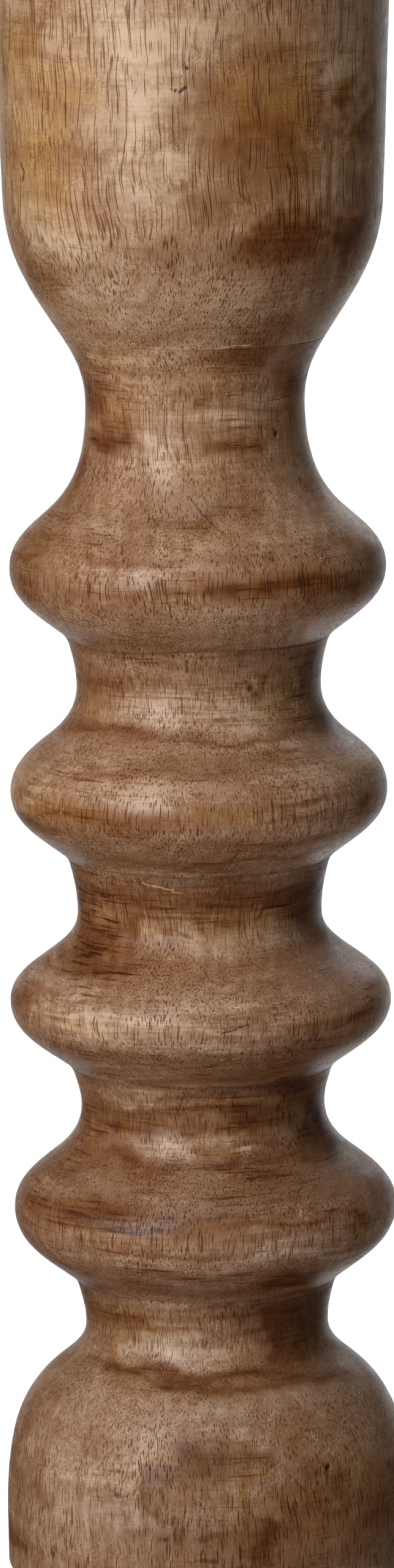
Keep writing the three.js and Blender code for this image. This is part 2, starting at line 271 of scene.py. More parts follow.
def arc(radius, height, bend, start, end, steps=12):
    """Points (radius + bend cos t, height + bend sin t), with t from start to end in degrees."""
    t = np.radians(np.linspace(start, end, steps + 1))
    return np.stack([radius + bend * np.cos(t), height + bend * np.sin(t)], axis=1)


def along(points):
    """Distance along a row of points, from the first."""
    return np.concatenate([[0], np.cumsum(np.linalg.norm(np.diff(points, axis=0), axis=1))])


def spaced(points, widest, finest=None, growth=0.22):
    """The same outline with new points, finest mm apart at both ends and widest mm in the middle.

    The spacing at distance d from the nearer end is the lesser of widest and finest + growth d.
    """
    distance = along(points)
    fine = np.linspace(0, distance[-1], 4000)
    step = np.full_like(fine, widest)
    if finest is not None:
        near = np.minimum(fine, distance[-1] - fine)
        step = np.minimum(widest, finest + growth * near)
    count = np.concatenate([[0], np.cumsum(np.diff(fine) * 2 / (step[1:] + step[:-1]))])
    wanted = np.linspace(0, count[-1], max(2, int(round(count[-1])) + 1))
    place = np.interp(wanted, count, fine)
    return np.stack([np.interp(place, distance, points[:, k]) for k in (0, 1)], axis=1)


def straight(*corners, step=6):
    """Points along straight lines between the corners, at most step mm apart."""
    rows = [np.array([corners[0]], float)]
    for a, b in zip(corners, corners[1:]):
        count = max(1, int(math.ceil(math.dist(a, b) / step)))
        t = np.linspace(0, 1, count + 1)[1:, None]
        rows.append(np.array(a, float) * (1 - t) + np.array(b, float) * t)
    return np.concatenate(rows)


def in_mm(group):
    """The length settings of a group, by name and in mm."""
    lengths = [key for key, kind in group.bl_rna.properties.items() if getattr(kind, "unit", "") == "LENGTH"]
    return SimpleNamespace(**{key: getattr(group, key) / MM for key in lengths})


def middle_of(name):
    """The middle of a CAD piece from above, in mm."""
    low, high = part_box(name)
    return (low.x + high.x) / 2 / MM, (low.y + high.y) / 2 / MM


def screw_places():
    """The middle of each screw, in mm."""
    return [middle_of(name) for name in SCREWS]


def window_rows(level):
    """The two outline points, from the axis outwards, that bound the windows at one level."""
    middle = math.hypot(*screw_places()[0])
    return (middle - HOLE_WINDOW, level), (middle + HOLE_WINDOW, level)


def wood_side(sizes):
    """The whole turned side from the foot to the rim, as (radius, height) in mm."""
    s = in_mm(sizes)
    bottom, foot = BOTTOM["base_block"], s.foot_rounding
    runs = [
        arc(s.base_radius - foot, bottom + foot, foot, -90, 0),
        sweep([
            (s.base_radius, bottom + s.side_rise, 0),
            (s.shoulder_radius, SEAMS[0] - s.shoulder_drop, -50),
            (s.cove_radius, SEAMS[0] - s.base_cove_drop, 0),
            (s.seam_radius, SEAMS[0], 15),
        ]),
    ]
    for part, low, high in zip(("lower", "middle", "upper"), SEAMS, SEAMS[1:]):
        bead, bead_rise, flank_rise, cove_drop = (
            getattr(s, f"{part}_{size}") for size in ("bead_radius", "bead_rise", "flank_rise", "cove_drop")
        )
        runs.append(sweep([
            (s.seam_radius, low, 49),
            (bead, low + bead_rise, 0),
            (s.flank_radius, low + flank_rise, -52),
            (s.cove_radius, high - cove_drop, 0),
            (s.seam_radius, high, 15),
        ]))
    low, high = SEAMS[3:]
    runs.append(sweep([
        (s.seam_radius, low, 49),
        (s.top_bead_radius, low + s.top_bead_rise, 0),
        (s.top_flank_radius, low + s.top_flank_rise, -48),
        (s.neck_radius, high - s.neck_drop, 0),
        (s.seam_radius, high, 32.5),
        (s.cup_radius, high + s.cup_turn_rise, 2),
    ]))
    bend = s.rim_rounding
    runs.append(straight(runs[-1][-1], (s.rim_radius, CUP_TOP - bend), step=1)[1:])
    runs.append(arc(s.rim_radius - bend, CUP_TOP - bend, bend, 0, 90))
    return soften_creases(np.concatenate(runs), SEAMS[:4], s.crease_rounding)


def soften_creases(points, heights, reach):
    """The side with each sharp inward corner turned into a hollow curve.

    The corner c and the points a and b, reach mm before and after it, give the curve
    (1-t)^2 a + 2 t (1-t) c + t^2 b.
    """
    for height in heights:
        distance = along(points)
        corner = int(np.argmin(np.abs(points[:, 1] - height)))
        before = int(np.searchsorted(distance, distance[corner] - reach))
        after = int(np.searchsorted(distance, distance[corner] + reach))
        a, c, b = points[before], points[corner], points[after]
        t = np.linspace(0, 1, 41)[:, None]
        curve = (1 - t) ** 2 * a + 2 * t * (1 - t) * c + t**2 * b
        points = np.concatenate([points[:before], curve, points[after + 1:]])
    return points


def block_side(side, low, high):
    """The piece of the side between two heights in mm, with exact ends."""
    order = np.searchsorted(side[:, 1], [low, high])
    ends = [[np.interp(h, side[:, 1], side[:, 0]), h] for h in (low, high)]
    inside = side[order[0]:order[1]]
    inside = inside[(inside[:, 1] > low + 1e-6) & (inside[:, 1] < high - 1e-6)]
    return np.concatenate([ends[:1], inside, ends[1:]])


# Surfaces


def columns_round(count, crowding=0.42):
    """Angles from the front, in radians, closer together at the front.

    With u evenly spread round the turn, the angle is u - crowding sin u.
    """
    u = np.linspace(-math.pi, math.pi, count, endpoint=False)
    return u - crowding * np.sin(u)


def ripples(angle, height, seed, turns, waves, count=14):
    """Smooth seeded unevenness of about -1 to 1 on the turned surface.

    It is the sum of count cosines cos(n angle + k height + phase), with whole n up to turns and
    k up to waves radians per mm, over the root of half of count.
    """
    source = np.random.default_rng(seed)
    total = np.zeros(np.broadcast(angle, height).shape)
    for n, k, phase in zip(
        source.integers(-turns, turns + 1, count),
        source.uniform(-waves, waves, count),
        source.uniform(0, 2 * math.pi, count),
    ):
        total += np.cos(n * angle + k * height + phase)
    return total / math.sqrt(count / 2)


def lathe_grid(outline, angles):
    """Angle, radius, height and number of each point of a turned grid, one row for each height."""
    a, r = np.meshgrid(angles, outline[:, 0])
    return a, r, np.repeat(outline[:, 1:], len(angles), axis=1), np.arange(a.size).reshape(a.shape)


def lathe_points(a, r, z):
    """The points (r sin a, -r cos a, z), which lie at angle a round from the front."""
    return np.stack([r * np.sin(a), -r * np.cos(a), z], axis=2).reshape(-1, 3)


def turned_mesh(name, outline, angles, shift=None, holes=(), centre=(0, 0)):
    """A closed solid of revolution from an outline in mm that starts and ends on the axis.

    Its points are as in lathe_points, round an axis through centre. shift(a, r, z) gives a
    point's own radius and height, and holes are as in pierced. Returns the object, and each
    vertex's angle and height.
    """
    inner = outline[1:-1]
    a, r, z, index = lathe_grid(inner, angles)
    angle, height = a.ravel(), z.ravel()
    if shift is not None:
        r, z = shift(a, r, z)
    poles = [[0, 0, outline[0, 1]], [0, 0, outline[-1, 1]]]
    points = np.concatenate([lathe_points(a, r, z), poles])
    right = np.roll(index, -1, axis=1)
    quads = np.stack([index[:-1], right[:-1], right[1:], index[1:]], axis=2)
    first = np.stack([np.full(len(angles), a.size), right[0], index[0]], axis=1)
    last = np.stack([np.full(len(angles), a.size + 1), index[-1], right[-1]], axis=1)
    points, sides = pierced(points, quads, index, angles, inner, holes)
    piece = new_mesh(name, (points + (*centre, 0)) * MM, [*sides, first, last])
    added = points[a.size:]
    angle = np.append(angle, np.arctan2(added[:, 0], -added[:, 1]))
    return piece, angle, np.append(height, added[:, 2])


def ring_mesh(name, outline, angles, holes=()):
    """A closed ring of revolution from an outline that closes on itself away from the axis.

    Its points are as in lathe_points, and holes are as in pierced.
    """
    a, r, z, index = lathe_grid(outline, angles)
    right, above = np.roll(index, -1, axis=1), np.roll(index, -1, axis=0)
    quads = np.stack([index, right, np.roll(above, -1, axis=1), above], axis=2)
    points, sides = pierced(lathe_points(a, r, z), quads, index, angles, outline, holes)
    return new_mesh(name, points * MM, sides)


def pierced(points, quads, index, angles, outline, holes):
    """A turned grid with upright round holes: its points, and its quads and triangles.

    A hole has a centre, its rings as (radius, height) from the top down, and the heights of the
    flat faces that it opens in. A window is cut out of each face, and rings of points at the
    window's own angles join its edge to the hole. A last ring of radius 0 is the point of a blind
    hole.
    """
    kept = np.ones(quads.shape[:2], bool)
    turns = np.concatenate([angles - 2 * math.pi, angles, angles + 2 * math.pi])
    added = []
    for (x, y), rings, levels in holes:
        middle, turn = math.hypot(x, y), math.atan2(x, -y)
        reach = HOLE_WINDOW / middle
        ends = (np.argmin(np.abs(turns - turn - side * reach)) for side in (-1, 1))
        across = np.arange(*ends) - len(angles)
        edges = []
        for level in levels:
            near, far = (
                int(np.argmin(np.hypot(outline[:, 0] - middle - side * HOLE_WINDOW, outline[:, 1] - level)))
                for side in (-1, 1)
            )
            kept[np.ix_(range(min(near, far), max(near, far)), across % len(angles))] = False
            edges.append(window_edge(index, near, far, across))
        edge = points[edges[0]]
        about = np.arctan2(edge[:, 1] - y, edge[:, 0] - x)
        circles = [
            np.stack([x + r * np.cos(about), y + r * np.sin(about), np.full(len(about), z)], axis=1)
            for r, z in rings if r > 0
        ]
        steps = [*between(edge, circles[0]), *circles]
        for far_edge in edges[1:]:
            steps += between(circles[-1], points[far_edge])
        numbers = len(points) + np.arange(len(steps) * len(edge)).reshape(len(steps), -1)
        chain = [edges[0], *numbers, *edges[1:]]
        points = np.concatenate([points, *steps])
        for upper, lower in zip(chain, chain[1:]):
            added.append(np.stack([upper, np.roll(upper, -1), np.roll(lower, -1), lower], axis=1))
        if rings[-1][0] == 0:
            tip = np.full(len(edge), len(points))
            points = np.concatenate([points, [[x, y, rings[-1][1]]]])
            added.append(np.stack([chain[-1], np.roll(chain[-1], -1), tip], axis=1))
    return points, [quads[kept], *added]


def between(start, end):
    """Two rows of points, a third and two thirds of the way from one row to another."""
    return [start + (end - start) * share for share in (1 / 3, 2 / 3)]


def window_edge(index, near, far, across):
    """A grid's vertices round a window, in order: outwards, on round, inwards and back."""
    step = 1 if far > near else -1
    cols = index.shape[1]
    return np.concatenate([
        index[np.arange(near, far, step), across[0] % cols],
        index[far, across % cols],
        index[np.arange(far, near, -step), (across[-1] + 1) % cols],
        index[near, (across[::-1] + 1) % cols],
    ])


def new_mesh(name, points, face_sets):
    """An object at the origin from points in metres and arrays of triangles or quads."""
    mesh = bpy.data.meshes.new(name)
    loops = np.concatenate([faces.ravel() for faces in face_sets])
    sides = np.concatenate([np.full(len(faces), faces.shape[1]) for faces in face_sets])
    mesh.vertices.add(len(points))
    mesh.vertices.foreach_set("co", points.astype(np.float32).ravel())
    mesh.loops.add(len(loops))
    mesh.loops.foreach_set("vertex_index", loops.astype(np.int32))
    mesh.polygons.add(len(sides))
    mesh.polygons.foreach_set("loop_start", (np.cumsum(sides) - sides).astype(np.int32))
    mesh.polygons.foreach_set("loop_total", sides.astype(np.int32))
    mesh.polygons.foreach_set("use_smooth", np.ones(len(sides), bool))
    mesh.update(calc_edges=True)
    mesh.set_sharp_from_angle(angle=math.radians(SHARP_EDGE))
    mesh.validate()
    piece = bpy.data.objects.new(name, mesh)
    bpy.context.scene.collection.objects.link(piece)
    return piece


def set_attribute(piece, name, values):
    """Stores one number per vertex under a name that a material reads."""
    layer = piece.data.attributes.new(name, "FLOAT", "POINT")
    layer.data.foreach_set("value", np.ascontiguousarray(values, np.float32))


def finish_piece(piece, material, slot, *nodes):
    """Gives the piece its material and its place on the frame, and hides the CAD nodes that it stands for."""
    piece.data.materials.append(material)
    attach(piece, "root")
    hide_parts(*nodes)


# Stains, painted highlights and shade, crease lines and marks of the wood

# Stains and painted light, listed by kind: degrees round, height in mm, half width in degrees, half
# height in mm, and strength in per cent. Most rows are the wood's own streaks and stains. The pale
# rows about 10 to 20 degrees left of the front, low in the coves and the neck's waist and just above
# the upper bead's nose, are painted highlights of the key lamp. The haze and dark rows across the
# front under the beads, at about 82, 138, 191 and 245 mm, are painted shade and grey sheen on the
# undersides. The dark rows near -60 to -70 degrees on the lower blocks make the left edge darker.
STAINS = {
    "amber": [
        (-47, 368, 12, 16, 75), (-43, 352, 10, 7, 40), (-68, 380, 7, 16, 50), (26, 370, 14, 17, 100),
        (63, 372, 8, 14, 90), (36, 342, 11, 6, 50), (-45, 309, 20, 3, 40), (12, 305, 25, 4, 35),
        (58, 297, 12, 8, 70), (4, 299.5, 6, 3, 50), (-50, 296, 16, 6, 75), (45, 253, 20, 4, 70),
        (40, 231, 14, 4, 60), (-62, 224, 12, 4, 50), (42, 224, 14, 3.5, 40), (-55, 200, 24, 2.8, 90),
        (12, 200, 26, 3, 50), (60, 200, 7, 3, 80), (20, 171, 36, 4, 80), (-42, 167, 20, 5, 85),
        (-35, 147, 20, 2.2, 30), (50, 147.5, 18, 2.5, 70), (5, 126, 7, 2, 60), (38, 122, 22, 4, 90),
        (-20, 118.5, 26, 2.5, 50), (8, 113.5, 4, 2.5, 70), (-62, 112, 12, 3, 60), (56, 93, 10, 3.5, 80),
        (40, 72, 12, 4, 60), (15, 64, 10, 4, 60), (-50, 64, 14, 4, 50), (8, 33, 6, 4, 30),
        (45, 28, 22, 14, 75), (-20, 99, 14, 2, 80), (-17, 40, 8, 6, 80), (-52, 385, 14, 8, 50),
        (-58, 358, 10, 10, 50), (10, 35, 4, 4, 50), (-36, 70, 22, 4, 60),
    ],
    "pale": [
        (-17, 384, 11, 20, 80), (-14, 358, 7, 14, 55), (-30, 392, 14, 8, 30), (8, 394, 12, 7, 45),
        (51, 383, 5, 9, 45), (46, 352, 8, 6, 40), (17, 346, 8, 3, 50), (-48, 341, 13, 4, 50),
        (-30, 329, 14, 3.5, 35), (14, 329, 14, 3.5, 40), (-15, 314.5, 20, 2, 25), (-35, 310, 18, 2, 30),
        (-17, 287, 11, 7, 75), (-22, 300, 8, 4, 30), (22, 292, 10, 5, 25), (32, 278, 12, 5, 30),
        (-25, 259, 22, 3, 50), (20, 266, 18, 3, 20), (-8, 224.5, 22, 4, 95), (22, 224, 14, 3, 60),
        (-20, 206.5, 26, 3, 55), (32, 208, 22, 3, 25), (38, 165.5, 22, 2.5, 35), (-14, 168.5, 9, 2.8, 35),
        (18, 158, 25, 3, 20), (-42, 149.5, 16, 3.5, 60), (2, 151, 24, 3.5, 40), (-22, 127, 14, 2.5, 35),
        (-12, 115, 12, 2.6, 50), (22, 115, 10, 2.2, 45), (5, 94, 26, 3, 30), (-26, 74, 18, 1.8, 25),
        (-20, 63.5, 20, 2.8, 90), (8, 63, 10, 2.5, 45), (10, 32, 4, 3, 20), (-44, 36, 16, 12, 35),
        (-42, 381, 12, 9, 50), (-35, 343, 22, 4, 45), (-38, 300, 12, 3.5, 40), (8, 295, 16, 4, 35),
        (-16, 246, 14, 2.5, 30), (-34, 225.5, 14, 2.8, 60), (16, 223, 9, 2.8, 50), (52, 224, 10, 2.5, 40),
        (30, 200, 12, 3, 30), (-35, 147.5, 28, 3.2, 50), (-30, 136, 14, 5, 30), (-26, 126, 8, 3, 50),
        (20, 91.5, 22, 2, 30), (-35, 63, 22, 2.4, 40), (-2, 62.5, 12, 2.4, 40), (11, 46.5, 9, 4.5, 50),
        (34, 50, 10, 3, 45), (-38, 33, 12, 8, 30), (-21, 28, 6, 8, 50), (-55, 28, 6, 6, 35),
        (-26, 127, 10, 3, 40), (24, 90, 24, 2.2, 40), (-60, 346, 12, 4, 40), (-36, 353, 8, 5, 30),
        (-6, 393, 10, 4, 30), (0, 296, 50, 8, 14), (0, 226, 50, 7, 20), (0, 66, 50, 5, 12),
        (1, 34.5, 5, 2.6, 35), (10, 35, 3.5, 3, 30), (-21, 32, 7, 10, 35), (3, 51, 16, 2.6, 25),
        (-8, 116.5, 16, 2, 55), (14, 114.6, 14, 1.6, 40), (2, 168, 12, 2, 50),
    ],
    "dark": [
        (27, 366, 9, 13, 28), (10, 377, 10, 6, 20), (64, 366, 7, 12, 50), (35, 341, 10, 5, 50),
        (58, 340, 7, 7, 95), (60, 330, 10, 5, 40), (-70, 330, 9, 8, 40), (-20, 318, 40, 2, 20),
        (32, 317, 22, 4, 45), (60, 303, 11, 3, 60), (4, 299.5, 5, 2, 35), (-55, 288.5, 22, 2, 50),
        (-48, 293, 14, 2, 20), (22, 287, 14, 1.5, 20), (0, 273, 25, 2.5, 12), (24, 262, 5, 1.8, 35),
        (-20, 254, 34, 1, 30), (34, 255, 28, 2, 50), (-65, 252, 10, 3, 35), (60, 233, 8, 5, 80),
        (-52, 229.5, 20, 1.2, 40), (15, 217, 55, 0.8, 35), (-60, 217.5, 16, 2, 35), (-36, 200, 32, 2.6, 40),
        (61, 200, 6, 2.4, 40), (0, 187.5, 60, 0.8, 30), (0, 181, 60, 1.6, 20), (-5, 176, 60, 2.6, 30),
        (50, 177, 12, 3.2, 80), (60, 171, 10, 4, 70), (-66, 174, 11, 6, 40), (-60, 164, 16, 5, 45),
        (-40, 159.5, 18, 2.6, 30), (50, 147, 18, 1.4, 50), (36, 139, 18, 6, 35), (-10, 132.5, 60, 1.5, 25),
        (40, 129, 14, 1.6, 50), (52, 127, 9, 2.4, 80), (-42, 121.5, 24, 2.6, 40), (42, 122, 16, 3, 30),
        (63, 120, 7, 4.5, 95), (-70, 118, 9, 6, 30), (0, 111, 60, 0.9, 30), (-30, 109, 18, 3, 20),
        (-45, 99, 22, 2, 35), (58, 94, 8, 2.6, 50), (-66, 95, 10, 4, 10), (5, 80.5, 45, 2, 30),
        (-66, 70, 13, 3, 40), (-45, 71, 12, 0.8, 40), (30, 70, 10, 3, 40), (61, 70, 19, 5, 80),
        (42, 63, 18, 4, 40), (-12, 56, 14, 1.6, 40), (42, 56, 14, 1.6, 40), (-1, 39.5, 9, 4, 35),
        (28, 38, 6, 6, 20), (-70, 36, 8, 20, 30), (60, 20, 14, 12, 45), (18, 16, 12, 6, 55),
        (40, 12, 16, 5, 40), (-2, 10, 8, 4, 30), (-30, 8, 25, 3, 25), (18, 362, 10, 10, 40),
        (44, 371, 7, 6, 35), (63, 374, 6, 5, 40), (28, 338, 16, 7, 50), (30, 327, 22, 5, 30),
        (26, 312, 18, 4, 45), (-50, 287, 16, 2.4, 45), (24, 287.5, 16, 2.2, 35), (10, 273, 9, 3, 35),
        (2, 264, 8, 3, 25), (17, 254, 8, 3, 50), (46, 252, 7, 3, 35), (28, 228.5, 4, 2, 60),
        (-30, 217.5, 26, 1.8, 50), (8, 210, 14, 4, 20), (0, 177, 70, 4, 55), (-34, 168, 12, 5, 55),
        (8, 171, 14, 4, 40), (-62, 166, 10, 7, 35), (56, 177, 10, 3, 40), (0, 160, 60, 4, 20),
        (22, 135, 24, 5, 30), (18, 121, 14, 3, 55), (52, 113, 16, 5, 40), (-13, 100, 7, 2.2, 80),
        (-38, 99, 14, 2, 45), (0, 86, 30, 2.2, 35), (40, 81, 16, 3.5, 60), (40, 70, 16, 5, 40),
        (-5, 56, 18, 1.6, 40), (-16, 38, 5, 2, 40), (32, 28, 8, 9, 45), (12, 20, 10, 5, 40),
        (-50, 328, 12, 4, 40), (33, 66, 9, 6, 60), (62, 66, 8, 6, 60), (2, 100, 10, 2, 30),
        (12, 121, 8, 2.5, 40), (8, 113, 5, 2.2, 50), (-26, 82, 12, 2.2, 35), (32, 82, 7, 2.5, 40),
        (18, 386, 13, 4, 45), (44, 376, 5, 8, 30), (5, 350, 8, 5, 40), (33, 347, 6, 3, 40),
        (20, 309, 22, 2.5, 40), (-2, 31, 30, 14, 15), (-40, 58, 16, 1.2, 50), (15, 58.2, 10, 1.1, 35),
        (60, 54.5, 12, 1.4, 50), (-30, 112, 24, 1.2, 35), (30, 107, 20, 3, 25), (-20, 210, 22, 1.2, 25),
        (10, 152, 26, 1, 30), (-12, 262, 24, 1, 30), (20, 193, 30, 1.4, 35), (-25, 140, 30, 1.2, 30),
        (94, 230, 30, 5, 50), (98, 174, 32, 5, 60), (98, 122, 32, 4.5, 65), (98, 68, 32, 5, 65),
        (86, 337, 22, 6, 50), (84, 303, 18, 4, 40), (120, 304, 16, 5, 30), (140, 176, 22, 4, 40),
        (142, 67, 24, 4, 45), (-96, 68, 26, 4, 45), (-98, 120, 26, 5, 45), (-96, 174, 28, 5, 45),
        (-94, 232, 26, 4, 40), (-8, 95, 60, 8, 9), (0, 258, 60, 8, 6), (-1, 42.5, 9, 2.2, 30),
        (-12.5, 33, 2.6, 7, 22), (11, 39.5, 4, 2.2, 30), (12.5, 23, 7, 3.4, 50), (-9, 19, 9, 4, 25),
        (-36, 72.5, 24, 1.1, 55), (-30, 69, 22, 0.8, 45), (18, 72.6, 24, 1.3, 50), (0, 75, 60, 0.8, 40),
        (22, 67.5, 18, 0.8, 40), (-6, 123.8, 40, 1.2, 55), (-32, 119, 28, 1.1, 55), (24, 118.6, 18, 1, 50),
        (0, 127.6, 50, 0.9, 40), (-6, 57.8, 40, 0.8, 50), (12, 55, 30, 0.7, 40), (-20, 171.5, 30, 0.9, 45),
        (0, 91, 34, 0.8, 40), (-30, 96.5, 26, 0.8, 40), (30, 97, 24, 0.8, 35),
    ],
    "haze": [
        (2, 372, 9, 14, 35), (-5, 335, 35, 5, 50), (0, 318, 40, 4, 30), (-10, 272, 35, 4, 60),
        (-10, 245, 45, 4, 50), (-10, 234, 50, 3, 30), (0, 213, 50, 3, 45), (0, 191, 50, 4, 55),
        (-5, 138, 45, 5, 60), (0, 106, 60, 5, 70), (-20, 100, 30, 3, 40), (0, 82, 60, 4, 90),
        (0, 49, 60, 4, 35), (2, 38, 14, 5, 60), (-20, 25, 22, 12, 50), (-1, 42, 10, 3, 70),
        (-12, 32, 3.5, 8, 60), (-10, 21, 8, 5, 60),
    ],
}

# Marks: half width in mm and strength, then the degrees round and the height in mm of each point
# that a mark runs through. One point makes a spot.
# A spot at the middle of a dent is a hole, and its dark colour is painted shade inside it.
MARKS = {
    "cup_block": [
        (0.6, 1, -1.2, 382.4), (0.3, 0.8, -2.6, 380.4), (0.55, 1, -3.4, 376.6, -1.5, 377.8),
        (0.5, 1, -4.6, 377), (0.4, 0.8, -5.8, 377.4), (0.2, 0.8, -17, 375.5, -15.6, 377.5),
        (0.28, 0.7, -10.5, 371.5), (0.4, 0.9, -62, 357.5, -60, 355.6, -61, 353.6), (0.3, 0.8, -58.5, 358.4),
        (1.2, 0.14, -62, 349, -52, 337.5, -36, 327.5, -16, 323.2, 2, 322.2, 20, 322.6, 36, 325.4, 46, 332,
         51, 341),
    ],
    "neck_block": [
        (0.42, 1, 44, 291.6), (0.85, 1, 46.6, 290.4), (0.3, 0.9, 57.5, 294.6),
        (0.22, 0.85, -3, 276.8, 2, 273, 6, 270.8, 9.8, 268.2), (0.2, 0.6, -65, 283, -56, 280, -48.5, 277.2),
        (0.3, 0.5, -34.5, 266, -31.8, 262.2), (0.36, 0.7, -26.5, 266.2, -23.4, 262),
        (0.18, 0.6, -46, 263, -46, 259), (0.16, 0.7, -16, 244.8, -16, 249),
        (0.14, 0.6, -33, 245, -32.6, 248), (0.7, 0.3, -6, 290, -2, 293.5),
    ],
    "upper_bead_block": [
        (0.42, 0.85, -5, 233.6, -4.8, 236.4), (0.9, 0.8, 25.2, 228.9), (0.55, 0.7, 22.5, 230.6),
        (0.45, 0.7, 28, 227.2), (0.3, 0.6, 6.6, 226.5, 8.2, 224.4), (0.24, 0.75, 11, 187.4, 13, 190.4),
        (0.2, 0.65, 17, 188, 18.4, 190.6),
    ],
    "middle_bead_block": [
        (0.5, 0.6, -10, 168.6, -5, 167.6), (0.4, 0.65, 28, 171.6, 31, 174.6),
        (0.17, 0.9, -39, 140.4, -33, 139.2, -27, 138.5, -20, 137.7, -14, 137.6, -9, 136.8, -3, 137.2,
         2, 137, 5, 138.2, 9, 139.8),
        (0.22, 0.85, 6, 146.6, 10, 147.6, 14, 148.6), (0.9, 0.45, 23, 152.2),
    ],
    "lower_bead_block": [
        (0.6, 0.2, 8, 120.4, 7, 117), (0.5, 0.25, 15, 116, 14, 113.6), (0.9, 0.7, 37, 123.6),
        (0.6, 0.65, 41, 121.8), (0.4, 0.5, 33, 104.5, 36, 105.2),
    ],
    "base_block": [
        (1.05, 1, 37.8, 35.6), (0.9, 0.75, -27, 30.6), (0.35, 0.5, -25.8, 30.2, -23.6, 30.6),
        (0.8, 0.85, -12, 20.2), (0.2, 0.95, -2.6, 30.4, -1.6, 28.8, -0.6, 27.6, 0.2, 25.4, 1.4, 24.4),
        (0.18, 0.7, -33, 37.5, -30, 42), (0.3, 0.5, 26, 34, 29, 31), (0.9, 0.5, -2, 20.6, 2.5, 21.8),
        (0.6, 0.6, -2, 15.4, 2.6, 15),
        (0.7, 0.3, -66, 59.4, -46, 58.8, -28, 57.8, -18, 55.8, -8, 55.4, 2, 57.2, 22, 58.6, 36, 57,
         50, 54.6, 66, 54),
        (0.5, 0.8, 33.5, 32.6), (0.35, 0.7, 12, 27),
    ],
}

# Small pale chips and torn fibres, in the same form. The cup's row is a painted highlight along the
# edge of a crack just above the seam.
NICKS_AND_GLINT = {
    "cup_block": [(0.26, 0.75, 9, 313.1, 14, 313.4, 19, 313.7, 24, 313.5)],
    "neck_block": [(0.45, 0.8, 65, 253.4), (0.2, 0.35, 4, 311.2, 14, 311.6)],
    "upper_bead_block": [(0.22, 0.7, -46.5, 199.2, -46.3, 200)],
    "middle_bead_block": [
        (0.18, 0.6, -27, 181, -23, 180.6), (0.24, 0.75, -22, 180.5, -17, 180.1),
        (0.22, 0.7, -17, 179.9, -12, 179.6), (0.16, 0.6, -13, 179.1, -8, 178.8),
        (0.25, 0.7, -64, 145.4, -62.6, 147.4),
    ],
    "lower_bead_block": [(0.28, 0.75, 30.6, 99.6, 31.4, 100.8), (0.3, 0.8, -6, 86.8)],
    "base_block": [(0.18, 0.4, -13, 47.4, -8, 48.8)],
}

# Dents: degrees round, height, half width along the surface in mm, half height in mm, depth in mm.
DENTS = [
    (-26, 264.2, 0.9, 2.8, 0.35), (-36, 264.4, 1.2, 2.2, 0.28), (37.8, 35.6, 0.65, 0.75, 1.2),
    (46.6, 290.4, 0.6, 0.7, 0.9), (25.2, 228.9, 1, 1.2, 0.5), (-27, 30.6, 1, 1, 0.25),
    (-12, 20.2, 0.9, 0.9, 0.3), (64, 118, 3, 2, 0.5), (-64, 262, 3, 1.5, 0.2), (150, 350, 4, 1.2, 0.25),
    (-120, 96, 1, 3, 0.35), (112, 150, 1.4, 1, 0.4), (-170, 44, 2.2, 1.2, 0.3), (95, 372, 1, 3, 0.25),
    (-145, 205, 1, 1, 0.5),
]

BACK_STAINS_PER_BLOCK = 22
BACK_MARKS_PER_BLOCK = 6


def all_stains():
    """The listed stains and painted light, and seeded stains of the same kinds over the sides and the back.
    """
    source = np.random.default_rng(11)
    stains = [(kind, *row[:4], row[4] / 100) for kind, rows in STAINS.items() for row in rows]
    for name in WOOD_BLOCKS:
        low, high = BOTTOM[name], TOP[name]
        for _ in range(BACK_STAINS_PER_BLOCK):
            stains.append((
                source.choice(list(STAINS), p=[0.32, 0.32, 0.32, 0.04]),
                180 + source.uniform(-105, 105),
                source.uniform(low, high),
                source.uniform(8, 30),
                source.uniform(1.2, 5.5) * (1.8 if high - low > TALL_BLOCK else 1),
                source.uniform(0.35, 0.9),
            ))
    return stains


def stain_strengths(angle, height):
    """Strength of each kind of stain and painted light at each vertex, 0 to 1.

    Each stain adds strength times exp(-(da/width)^2 - (dz/height)^2), at places that seeded
    ripples have moved by a few degrees and millimetres.
    """
    round_by = angle + math.radians(4.5) * ripples(angle, height, 3, 16, 0.45)
    round_by += math.radians(1.6) * ripples(angle, height, 4, 50, 1.6)
    up_by = height + 0.9 * ripples(angle, height, 5, 9, 0.3)
    up_by += 0.35 * ripples(angle, height, 6, 40, 1.6)
    found = {kind: np.zeros_like(angle) for kind in STAINS}
    for kind, degrees, middle, width, tall, strength in all_stains():
        near = np.abs(up_by - middle) < 2.6 * tall
        turn = (round_by[near] - math.radians(degrees) + math.pi) % (2 * math.pi) - math.pi
        fade = (turn / math.radians(width)) ** 2 + ((up_by[near] - middle) / tall) ** 2
        found[kind][near] += strength * np.exp(-fade)
    return {kind: np.clip(value, 0, 1) for kind, value in found.items()}


def seam_line_and_crease_shade(angle, height):
    """A dark fine line at each seam, and painted shade in soft bands beside it in the creases.

    At each crease the line adds exp(-(dz/0.32)^2), and the bands below and above it add
    exp(-(dz/1.5)^2) and exp(-(dz/2.2)^2). Seeded ripples make all of them uneven round the turn.
    """
    total = np.zeros_like(angle)
    for i, seam in enumerate(SEAMS[:4]):
        line = 0.75 + 0.25 * ripples(angle, 0, 30 + i, 6, 0)
        band = 0.55 + 0.3 * ripples(angle, height, 40 + i, 5, 0.1)
        drift = 0.25 * ripples(angle, 0, 50 + i, 5, 0)
        total += 0.8 * line * np.exp(-(((height - seam - drift) / 0.32) ** 2))
        total += 0.6 * band * np.exp(-(((height - seam + 1.3) / 1.5) ** 2))
        total += 0.28 * band * np.exp(-(((height - seam - 2.4) / 2.2) ** 2))
    total += 0.35 * np.exp(-(((height - SEAMS[4]) / 0.16) ** 2))
    return np.clip(total, 0, 1)


